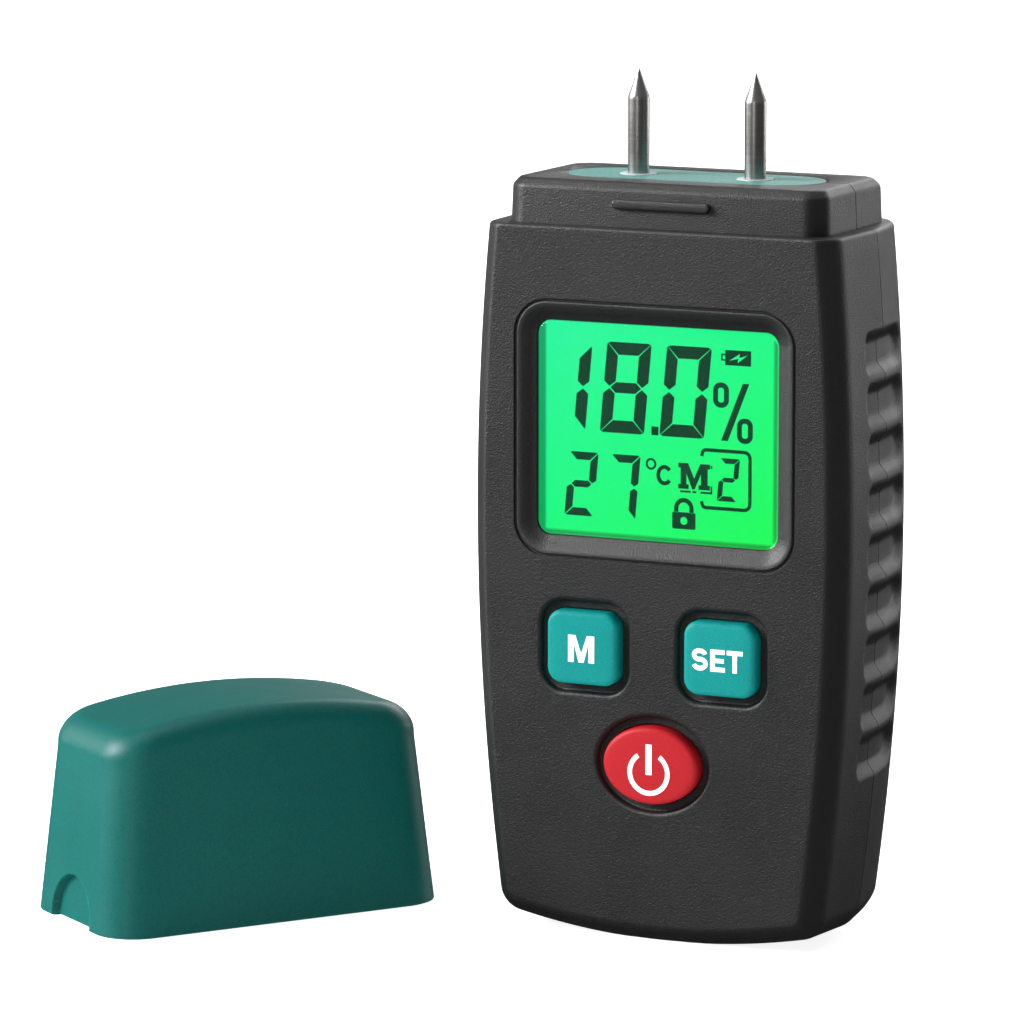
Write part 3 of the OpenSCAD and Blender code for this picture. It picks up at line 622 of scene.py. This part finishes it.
PANE_FRONT, PANE_STEP, PANE_BACK = -13.2, -12.85, -11.8
pane = rounded_rings(**WINDOW, profile=eased(
    [(-1.2, PANE_FRONT), (-0.1, PANE_FRONT), (-0.1, PANE_STEP), (0.8, PANE_STEP), (0.8, PANE_BACK)],
    (0.28, 0.05, 0.1), 6), count=20)
piece("window_pane", [skin(pane), cover([pane[0]], PANE_FRONT), cover([pane[-1]], PANE_BACK)],
      clear_acrylic("window_acrylic", (0.97, 1.0, 0.98), 0.01), "housing", ["display_lens"],
      crease=50)


# ---------------------------------------------------------------------------
# Liquid-crystal panel: two sheets of glass lit green from behind. The light is a little bluer at the
# top left and yellower at the bottom right, and falls off in a band along the edges of the glass.

LCD_X, LCD_Z, FALL = (-17.6, 17.2), (57.0, 86.6), 0.35
EDGE_LIGHT = 0.42       # how bright the border is beside the middle


def finish(material, *names):
    """Gives a CAD node its finished surface, in every one of its material slots."""
    for name in names:
        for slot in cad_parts[name].material_slots:
            slot.material = material


lit, tree, shader, place = surface("lit_panel")
split = added(tree, "SeparateXYZ", {0: place})


def formula(kind, *terms):
    """One arithmetic node; its terms are sockets or numbers."""
    return added(tree, "Math", dict(enumerate(terms)), operation=kind).outputs[0]


def edge_fall(axis, low, high):
    """1 inside low..high along an axis, falling to 0 within FALL of either end, all in millimetres."""
    near = formula("DIVIDE", formula("SUBTRACT", split.outputs[axis], low * MM), FALL * MM)
    far = formula("DIVIDE", formula("SUBTRACT", high * MM, split.outputs[axis]), FALL * MM)
    return added(tree, "Clamp", {"Value": formula("MINIMUM", near, far)}).outputs[0]


# the hue follows a slanting direction, 11 parts along X for every 16 down Z
slope = formula("ADD", formula("MULTIPLY", split.outputs["X"], 11), formula("MULTIPLY", split.outputs["Z"], -16))
hue = added(tree, "MapRange", {"From Min": -1.55, "From Max": -0.75, "Value": slope})
green = added(tree, "ValToRGB", {"Fac": hue.outputs["Result"]})
green.color_ramp.elements.new(0.5)
for stop, colour in zip(green.color_ramp.elements, ((0.02, 0.93, 0.36), (0.006, 0.95, 0.24), (0.006, 0.96, 0.10))):
    stop.color = (*colour, 1)
border = formula("MULTIPLY", edge_fall("X", *LCD_X), edge_fall("Z", *LCD_Z))
fill(shader, {"Base Color": (0.004, 0.05, 0.015, 1), "Roughness": 0.35, "Emission Color": green.outputs["Color"],
              "Emission Strength": formula("ADD", EDGE_LIGHT, formula("MULTIPLY", border, 1 - EDGE_LIGHT))})
finish(lit, "lcd_panel")


# ---------------------------------------------------------------------------
# Display segments: the darkened liquid crystal in front of the lit panel. Leaning seven-segment digits
# with mitred ends, and the signs for percent, degrees, battery, store place and lock.

PANEL_Y = -11.7


def digit(shown, x, z, w, h, bar, lean=0.09, gap=0.16):
    """A seven-segment digit in a box w by h, leaning by lean times its height. Upright segments have a
    mitred outer end and a pointed inner end; shown names the lit ones, a to g."""
    m, e, o = h / 2, bar / 2, bar * 0.22
    left, right, thin = bar + gap * 0.6, w - bar - gap * 0.6, e * 0.85
    upper = [(0.0, h - o - gap), (o * 0.2, h - gap), (bar, h - bar - gap), (bar, m + e), (e, m + gap), (0.0, m + e)]
    top = [(gap + o, h), (w - gap - o, h), (w - gap, h - o * 0.4), (right, h - bar), (left, h - bar),
           (gap, h - o * 0.4)]
    flip = lambda shape: [(w - a, b) for a, b in shape][::-1]
    drop_to = lambda shape: [(a, h - b) for a, b in shape][::-1]
    segments = {
        "a": top, "f": upper, "b": flip(upper), "e": drop_to(upper), "c": flip(drop_to(upper)), "d": drop_to(top),
        "g": [(e + gap, m), (left, m + thin), (right, m + thin), (w - e - gap, m), (right, m - thin),
              (left, m - thin)]}
    return [np.array([(x + a + lean * b, z + b) for a, b in segments[s]]) for s in shown]


def ring_loops(centre, outer, width):
    """The two outlines of an elliptical ring."""
    inner = (outer[0] - width, outer[1] - width)
    return [turned_path(centre, outer, 0, 352, 45), turned_path(centre, inner, 0, 352, 45)]


def zero_loops(centre, w, h, bar):
    """The two outlines of a narrow upright nought: rounded rectangles w by h, one bar inside the other."""
    at = np.zeros((1, 2))
    shapes = [rounded_rings(w - 2 * cut, h - 2 * cut, w * r, at, centre, 8) for cut, r in ((0, 0.46), (bar, 0.15))]
    return [shape[0][:, [0, 2]] for shape in shapes]


# the reading 18.0, the temperature 27, and the store place 2
LARGE, SMALL = (6.7, 12.7, 1.75), (4.4, 9.0, 1.1)
marks = [
    *digit("bc", -15.2, 71.6, 4.2, 11.9, 1.75), *digit("abcdefg", -8.75, 71.5, *LARGE),
    box_loop(-0.9, 0.15, 71.55, 72.75), *digit("abcdef", 0.3, 71.5, *LARGE),
    *digit("abdeg", -14.15, 59.5, *SMALL), *digit("abc", -7.75, 59.5, *SMALL),
    *digit("abdeg", 9.0, 63.0, 2.9, 6.0, 0.72, gap=0.1)]
# the battery with its flash
marks += [box_loop(10.15, 14.0, 81.95, 84.05), box_loop(9.55, 10.15, 82.55, 83.5), box_loop(9.75, 10.15, 82.75, 83.3),
          np.array([(10.75, 82.6), (12.35, 83.6), (12.25, 83.05), (13.5, 83.45), (12.0, 82.3), (12.1, 82.9)])]
# percent, and degrees with its C
marks += [*zero_loops((9.55, 77.75), 2.35, 3.5, 0.72), *zero_loops((13.15, 72.95), 2.35, 3.5, 0.72),
          np.array([(9.6, 71.45), (10.6, 71.45), (13.75, 79.5), (12.8, 79.5)]),
          *ring_loops((-0.95, 67.5), (0.8, 0.82), 0.3),
          stroke(turned_path((1.1, 66.05), (0.95, 1.15), 38, 322), 0.55)]
# the frame round the store place, and the lock: its body, keyhole and shackle
store_frame = eased([(6.7, 69.1), (6.9, 70.0), (13.95, 70.0), (13.95, 61.95), (6.9, 61.95), (6.7, 62.8)],
                    (0.5, 1, 1, 0.5), 9)
shackle = np.concatenate([[(2.9, 61.0)], turned_path((4.05, 61.6), (1.15, 1.15), 180, 0, 20), [(5.2, 61.0)]])
marks += [stroke(store_frame, 0.48),
          eased([(4.0, 58.7), (5.8, 58.7), (5.8, 61.05), (2.3, 61.05), (2.3, 58.7), (4.0, 58.7)], [0.25] * 4, 4)[:-1],
          turned_path((4.05, 59.85), (0.55, 0.55), 0, 350, 36), stroke(shackle, 0.62)]
# a slab-footed M with its underline and a broken edge on its right
slab_m = np.array([(0, 0), (1.55, 0), (1.55, 0.65), (1.2, 0.65), (1.2, 2.2), (2.1, 0), (2.45, 0), (3.4, 2.2),
                   (3.4, 0.65), (3.05, 0.65), (3.05, 0), (4.75, 0), (4.75, 0.65), (4.4, 0.65), (4.4, 2.95),
                   (4.75, 2.95), (4.75, 3.6), (3.3, 3.6), (2.38, 1.5), (1.45, 3.6), (0, 3.6), (0, 2.95),
                   (0.35, 2.95), (0.35, 0.65), (0, 0.65)])
marks += [slab_m + (3.2, 64.35), box_loop(3.5, 5.05, 63.85, 64.12), box_loop(5.35, 5.9, 63.85, 64.12),
          box_loop(6.55, 8.3, 63.85, 64.12), box_loop(8.08, 8.3, 64.12, 64.95), box_loop(8.08, 8.3, 67.4, 67.8)]
crystal = grained_plastic("dark_crystal_painted_glow", (0.004, 0.03, 0.015), grain=0.5, depth=0.0, rough=0.3, uneven=0.15)
# the segments are opaque, so a faint green emission paints in the backlight that shows through the dark crystal: a
# painted glow, not a lamp
fill(crystal.node_tree.nodes["Principled BSDF"], {
    "Emission Color": (0.004, 0.065, 0.028, 1), "Emission Strength": 0.55})
piece("display_segments", printed([m + (-0.4, -0.15) for m in marks], PANEL_Y, 0.04), crystal, "housing")


# ---------------------------------------------------------------------------
# Electrode plate, collars and pins: a teal insulating plate set flush in the head, two white nylon
# collars in it, and two steel pins turned from bar, each ground to a point.

def turned(profile, x, count=64):
    """A solid of revolution about the upright line through x: rings of radius r at height z."""
    a = np.linspace(0, 2 * math.pi, count, endpoint=False)[None, :]
    z, r = profile[:, :1], profile[:, 1:2]
    return np.stack([x + r * np.cos(a), r * np.sin(a), z + 0 * a], axis=-1)


PIN_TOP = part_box("left_pin")[1].z / MM
PIN_X = 8.85
teal_plate = grained_plastic("teal_plate", (0.08, 0.25, 0.225), grain=0.35, depth=0.04, rough=0.55)
PLATE_FOOT = 102.8
plate = stadium_rings(PLATE_W, PLATE_D, eased(
    [(HEAD_TOP, -0.9), (HEAD_TOP, 0), (PLATE_Z, 0), (PLATE_Z, 1.0), (PLATE_FOOT, 1.0)], (0.15, 0.05, 0.05), 5))
bores = [turned(np.array([(HEAD_TOP, 2.72), (PLATE_FOOT, 2.72)]), sx * PIN_X) for sx in (-1, 1)]
piece("electrode_base", [skin(plate), *[skin(b) for b in bores],
                         cover([plate[0], *[b[0] for b in bores]], HEAD_TOP, 2),
                         cover([plate[-1], *[b[-1] for b in bores]], PLATE_FOOT, 2)],
      teal_plate, "housing", ["electrode_plate"])

nylon = grained_plastic("white_nylon", (0.42, 0.5, 0.49), grain=0.4, depth=0.02, rough=0.5)


def bare_metal(name, dark, light, rough, mark=0.12, stretch=(0.03, 0.03, 1), depth=0.004):
    """Bare machined or rolled metal: tool marks are noise as wide as mark, in millimetres, pulled out along
    the axes whose stretch is small; they vary the tone, the gloss and the height."""
    mat, tree, shader, place = surface(name)
    lines = added(tree, "Mapping", {"Scale": stretch, "Vector": place}).outputs["Vector"]
    tool_marks = added(tree, "TexNoise", {"Scale": 1 / (mark * MM), "Detail": 4, "Vector": lines}).outputs["Fac"]
    metal = added(tree, "ValToRGB", {"Fac": tool_marks})
    for stop, colour in zip(metal.color_ramp.elements, (dark, light)):
        stop.color = (*colour, 1)
    gloss = added(tree, "MapRange", {"To Min": rough - 0.06, "To Max": rough + 0.06, "Value": tool_marks})
    bump = added(tree, "Bump", {"Strength": 0.3, "Distance": depth * MM, "Height": tool_marks})
    fill(shader, {"Metallic": 1, "Base Color": metal.outputs["Color"], "Roughness": gloss.outputs["Result"],
                  "Normal": bump.outputs["Normal"]})
    return mat


steel = bare_metal("turned_steel", (0.22, 0.215, 0.21), (0.42, 0.41, 0.40), 0.34)
COLLAR_TOP, COLLAR_FOOT, PIN_R, PIN_TAPER = HEAD_TOP + 0.1, 101.6, 1.5, 3.9
collar = eased([(COLLAR_TOP, 1.52), (COLLAR_TOP, 2.62), (PLATE_FOOT, 2.62), (PLATE_FOOT, 3.5), (COLLAR_FOOT, 3.5),
                (COLLAR_FOOT, 2.03), (103.9, 2.03), (PLATE_Z, 1.52), (COLLAR_TOP, 1.52)],
               (0.12, 0.05, 0.1, 0.1, 0.05, 0.05, 0.05), 4)
spike = eased([(HEAD_FOOT, 0), (HEAD_FOOT, 1.2), (104.4, 1.2), (104.4, PIN_R), (PIN_TOP - PIN_TAPER, PIN_R),
               (PIN_TOP, 0.06), (PIN_TOP, 0)], (0.2, 0.05, 0.05, 0.3, 0.05), 5)
for side, sx in (("left", -1), ("right", 1)):
    piece(f"{side}_bush", [skin(turned(collar, sx * PIN_X))], nylon, "housing", [f"{side}_collar"])
    piece(f"{side}_spike", [skin(turned(spike, sx * PIN_X))], steel, "housing", [f"{side}_pin"],
          crease=30)


# ---------------------------------------------------------------------------
# Cap: one teal moulding that drops over the head and snaps on. Its walls lean in, its crown is part of a
# wide circle along its length, and a thumb hollow at the foot of each end helps to pull it off.

CAP_W, CAP_D, CAP_H, CAP_R = 53.4, 29.0, 31.0, 100.0
CAP_LEAN = 0.078 * 27   # how far a wall leans in, over its height of 27
CAP_AT, CAP_TURN = (-64, -17), math.radians(55)
CAP_CORNER, CROWN_CORNER = 6.0, 3.2     # corner radii of the outline, at the foot and at the crown
ROUND, LIP_R = 3.6, 0.35                # radii of the edge between wall and crown, and of the lower lip
THUMB_R, THUMB_RISE, THUMB_DEEP = 6.1, 0.9, 1.15
CEILING_Z = 24.5


def crown(x):
    """Height of the crown: a circle of radius CAP_R whose top is at CAP_H."""
    return CAP_H - CAP_R + np.sqrt(CAP_R**2 - x**2)


def cap_outline(inset, radius):
    """Level outlines of the cap, one for each inset: its plan shrunk by the inset, with corners of that
    radius, and with more points along the short ends, where the thumb hollows are."""
    w, d = CAP_W / 2 - inset[:, None], CAP_D / 2 - inset[:, None]
    r = radius[:, None]
    q = np.linspace(0, 1, 90, endpoint=False)[None, :]
    long_q = np.linspace(0, 1, 50, endpoint=False)[None, :]
    a = np.linspace(0, math.pi / 2, 16, endpoint=False)[None, :]
    x = [w + 0 * q, w - r + r * np.cos(a), (w - r) * (1 - 2 * long_q), r - w - r * np.sin(a)]
    y = [(d - r) * (2 * q - 1), d - r + r * np.sin(a), d + 0 * long_q, d - r + r * np.cos(a)]
    x, y = np.concatenate(x, 1), np.concatenate(y, 1)
    return np.concatenate([x, -x], 1), np.concatenate([y, -y], 1)


# the wall rises by the share up, closer rows at its foot; a quarter circle rounds it into the crown, and
# smaller and smaller copies of the last ring close the crown
up = np.concatenate([np.linspace(0, 10, 60), np.linspace(10, CAP_H, 30)[1:]]) / CAP_H
low_edge = LIP_R * (1 - np.sqrt(1 - (1 - np.minimum(up * CAP_H / LIP_R, 1)) ** 2))
x, y = cap_outline(CAP_LEAN * up + low_edge, np.full(len(up), CAP_CORNER))
z = up[:, None] * (crown(x[:1]) - ROUND)
arch = np.radians(np.linspace(0, 90, 14))[1:]
fall = 1 - np.cos(arch)
arch_x, arch_y = cap_outline(CAP_LEAN + ROUND * fall, CAP_CORNER + (CROWN_CORNER - CAP_CORNER) * fall)
arch_z = crown(arch_x) - ROUND + ROUND * np.sin(arch)[:, None]
share = np.linspace(1, 0, 24)[1:, None]
top_x, top_y = arch_x[-1:] * share, arch_y[-1:] * share
top_z = crown(top_x) + 0.25 * (1 - share**2)
x, y, z = (np.concatenate(rows) for rows in ((x, arch_x, top_x), (y, arch_y, top_y), (z, arch_z, top_z)))
# thumb hollow: a half circle on short upright sides, pressed into the two ends only
reach = np.where(z < THUMB_RISE, np.abs(y), np.hypot(y, z - THUMB_RISE)) - THUMB_R
at_end = np.abs(x) > 22
outer = np.stack([x - np.sign(x) * np.where(at_end, THUMB_DEEP * step(-reach / 0.35), 0), y, z], axis=-1)

mouth = rounded_rings(48.9, 24.9, 2.4, eased(
    [(0.3, 0), (0, 0.3), (0, 7), (-2.15, 7), (-2.15, CEILING_Z)], (0.05, 0.1, 0.1), 4))[:, :, [0, 2, 1]]
cap_parts = [skin(outer), cover([outer[0], mouth[0]], 0, 2), skin(mouth), cover([mouth[-1]], CEILING_Z, 2)]
cos, sin = math.cos(CAP_TURN), math.sin(CAP_TURN)
turn = np.array([[cos, -sin, 0], [sin, cos, 0], [0, 0, 1]])
cap_parts = [(np.asarray(p).reshape(-1, 3) @ turn.T + (*CAP_AT, 0), f) for p, f in cap_parts]
teal_cap = grained_plastic("teal_cap", (0.0, 0.088, 0.078), grain=0.2, depth=0.02, rough=0.42, uneven=0.04,
                           shine=0.25)
fill(teal_cap.node_tree.nodes["Principled BSDF"], {
    "Subsurface Weight": 0.3, "Subsurface Radius": (0.3, 1, 1), "Subsurface Scale": 2.5 * MM})
piece("cap_shell", cap_parts, teal_cap, "cap", ["cap"], crease=40)


# ---------------------------------------------------------------------------
# Probe circuit inside the head: brass sockets that hold the pins' tails, and two thin sleeved wires that
# take them to the board.

finish(bare_metal("socket_brass", (0.55, 0.36, 0.12), (0.75, 0.55, 0.24), 0.3), "left_socket", "right_socket")
finish(grained_plastic("sensor_sleeve", (0.72, 0.52, 0.03), grain=0.5, depth=0.01, rough=0.4, uneven=0.1),
       "left_probe_wire", "right_probe_wire")


# ---------------------------------------------------------------------------
# Behind the glass: an acrylic block that spreads the light of two green LEDs, a white frame that holds
# the display, and a rubber strip of carbon and clear layers that joins its contacts to the board.

finish(clear_acrylic("guide_acrylic", (0.92, 1.0, 0.94), 0.22), "light_guide")
led_body = grained_plastic("led_lens", (0.1, 0.75, 0.2), grain=0.4, depth=0.005, rough=0.25)
fill(led_body.node_tree.nodes["Principled BSDF"], {"Emission Color": (0.05, 1.0, 0.25, 1), "Emission Strength": 1.5})
finish(led_body, "backlight_leds")
finish(grained_plastic("frame_white", (0.72, 0.73, 0.7), grain=0.3, depth=0.02, rough=0.45), "display_frame")


def recoloured(material, factor, colour):
    """Mixes another colour into a finished material's own, by factor, and returns its shader."""
    shader = material.node_tree.nodes["Principled BSDF"]
    own = shader.inputs["Base Color"].links[0].from_socket
    mix = added(material.node_tree, "Mix", {"Factor": factor, "A": own, "B": (*colour, 1)}, data_type="RGBA")
    return fill(shader, {"Base Color": mix.outputs["Result"]})


def banded(material, axis, pitch, share, colour, metal=False):
    """Adds stripes to a finished material: along one axis, each pitch millimetres, a share of it has the
    other colour, and is metal or not."""
    tree = material.node_tree
    split = added(tree, "SeparateXYZ", {0: added(tree, "TexCoord").outputs["Object"]})
    place = added(tree, "Math", {0: split.outputs[axis], 1: pitch * MM / 2}, operation="PINGPONG").outputs[0]
    within = added(tree, "Math", {0: place, 1: pitch * MM / 2 * share}, operation="LESS_THAN").outputs[0]
    shader = recoloured(material, within, colour)
    if metal:
        fill(shader, {"Metallic": within})
    return material


finish(banded(grained_plastic("zebra_rubber", (0.55, 0.3, 0.32), grain=0.2, depth=0.01, rough=0.6), "X", 0.3, 0.5,
              (0.02, 0.02, 0.02)), "contact_strip")


# ---------------------------------------------------------------------------
# Circuit board: green solder mask over copper tracks, with tinned pads. On it sit a black chip with
# tinned legs, small parts, three click switches and a glass-bead temperature sensor.

mask = grained_plastic("solder_mask", (0.008, 0.12, 0.035), grain=0.6, depth=0.004, rough=0.3, uneven=0.15)
tree = mask.node_tree
flat = added(tree, "Mapping", {"Scale": (1, 0.02, 1), "Vector": added(tree, "TexCoord").outputs["Object"]})
cells = added(tree, "TexVoronoi", {"Scale": 1 / (2.4 * MM), "Vector": flat.outputs["Vector"]},
              distance="MANHATTAN", feature="F2")
wave = added(tree, "Math", {0: cells.outputs["Distance"], 1: 0.14}, operation="PINGPONG")
track = added(tree, "Math", {0: wave.outputs[0], 1: 0.075}, operation="GREATER_THAN").outputs[0]
recoloured(mask, track, (0.02, 0.24, 0.07))
ridge = added(tree, "Bump", {"Strength": 0.5, "Distance": 0.04 * MM, "Height": track})
fill(tree.nodes["Bump"], {"Normal": ridge.outputs["Normal"]})
finish(mask, "main_board")

finish(banded(grained_plastic("chip_legs", (0.55, 0.55, 0.53), grain=0.3, depth=0.01, rough=0.4), "X", 9, 0.74,
              (0.018, 0.018, 0.02)), "controller_chip")
finish(banded(grained_plastic("small_parts", (0.32, 0.22, 0.12), grain=1.5, depth=0.01, rough=0.45, uneven=0.5),
              "X", 2.6, 0.32, (0.62, 0.62, 0.6), True), "board_parts")
finish(grained_plastic("sensor_bead", (0.42, 0.16, 0.02), grain=0.3, depth=0.01, rough=0.15, uneven=0.2),
       "temperature_sensor")
finish(bare_metal("switch_can", (0.5, 0.5, 0.5), (0.68, 0.68, 0.67), 0.35, 0.3, (1, 1, 0.15)),
       "mode_switch", "set_switch", "power_switch")


# ---------------------------------------------------------------------------
# Screws: pan-head steel screws with a cross recess, nickel plated. Four hold the case from the back,
# and four smaller ones hold the board.

nickel = bare_metal("nickel_plate", (0.5, 0.49, 0.46), (0.66, 0.65, 0.62), 0.28, 0.2, (0.4, 0.4, 0.4), 0.002)


def screw_parts(x, z, y_under, y_top, head_r, shank_r, y_tip):
    """A screw along Y. The head is a grid in polar form whose height falls off like a dome; the recess is a
    cross, two crossing slots that narrow as they go down. The shank is a plain turned rod."""
    way = 1 if y_top > y_under else -1
    r, a = np.meshgrid(np.linspace(0.0, head_r, 40), np.linspace(0, 2 * math.pi, 96, endpoint=False), indexing="ij")
    px, pz = r * np.cos(a), r * np.sin(a)
    rise = abs(y_top - y_under)
    dome = rise * (0.62 + 0.38 * (1 - (r / head_r) ** 2))
    dome = np.where(r > head_r * 0.94, dome - rise * 0.35 * ((r / head_r - 0.94) / 0.06) ** 2, dome)
    near, far = np.minimum(np.abs(px), np.abs(pz)), np.maximum(np.abs(px), np.abs(pz))
    slot = np.maximum(near - head_r * 0.13, far - head_r * 0.58)
    dome -= rise * 0.8 * step(-slot / (head_r * 0.09))
    top = np.stack([x + px, y_under + way * dome, z + pz], -1)[1:]
    ring = lambda radius, y: np.stack([x + radius * np.cos(a[0]), np.full(96, y), z + radius * np.sin(a[0])], -1)
    rings = np.concatenate([top, [ring(head_r, y_under), ring(shank_r, y_under), ring(shank_r, y_tip)]])
    return [skin(rings), cover([top[0]], y_under + way * float(dome[0, 0])), cover([rings[-1]], y_tip)]


tip_y, head_y = [corner.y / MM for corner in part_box("case_screws")]
screws = []
for x, z in SCREWS:
    screws += screw_parts(x, z, SEAT_Y, head_y, 2.3, 1.05, tip_y)
piece("case_pan_screws", screws, nickel, "housing", ["case_screws"], crease=30)
finish(nickel, "board_screws")


# ---------------------------------------------------------------------------
# Battery: a 9 V block in a printed metal jacket, its seams rolled at both ends, with its two terminals
# on top. A moulded snap clips on them, with a red and a black lead.

CELL = dict(w=26.3, h=17.3, r=2.6, centre=(0, 3.35))
CELL_FOOT, CELL_TOP, CELL_LID, POST_TOP = 8.0, 54.4, 54.1, 56.1
SMALL_POST, LARGE_POST = (-6.35, 2.8, POST_TOP), (6.35, 3.8, 54.6)      # x, radius, and the height of its middle
can = rounded_rings(**CELL, profile=eased(
    [(-0.9, CELL_FOOT), (0, CELL_FOOT), (0, 8.9), (-0.22, 9.1), (-0.22, 53.3), (0, 53.5), (0, CELL_TOP),
     (-0.7, CELL_TOP), (-0.8, CELL_LID), (-2.0, CELL_LID)],
    (0.2, 0.2, 0.08, 0.05, 0.05, 0.08, 0.2, 0.2, 0.08), 5), count=10)[:, :, [0, 2, 1]]
jacket = grained_plastic("battery_jacket", (0.03, 0.032, 0.04), grain=0.2, depth=0.004, rough=0.46, uneven=0.03)
banded(jacket, "Z", 108, 0.32, (0.5, 0.29, 0.05), True)
posts = [
    turned(eased([(54.0, r), (POST_TOP, r * 0.93), (POST_TOP, r * 0.7), (middle, r * 0.6), (middle, 0)],
                 (0.3, 0.3, 0.1, 0.1), 5), x) + (0, CELL["centre"][1], 0)
    for x, r, middle in (SMALL_POST, LARGE_POST)]
piece("battery_block", [skin(can), cover([can[0]], CELL_FOOT, 2), cover([can[-1]], CELL_LID, 2)], jacket, "housing",
      ["battery"])
piece("battery_posts", [skin(p) for p in posts], nickel, "housing")
finish(grained_plastic("snap_vinyl", (0.02, 0.02, 0.02), grain=0.35, depth=0.03, rough=0.5), "battery_snap")
finish(grained_plastic("red_lead", (0.5, 0.01, 0.012), grain=0.5, depth=0.01, rough=0.35, uneven=0.08), "red_lead")
finish(grained_plastic("black_lead", (0.015, 0.015, 0.017), grain=0.5, depth=0.01, rough=0.35, uneven=0.08),
       "black_lead")
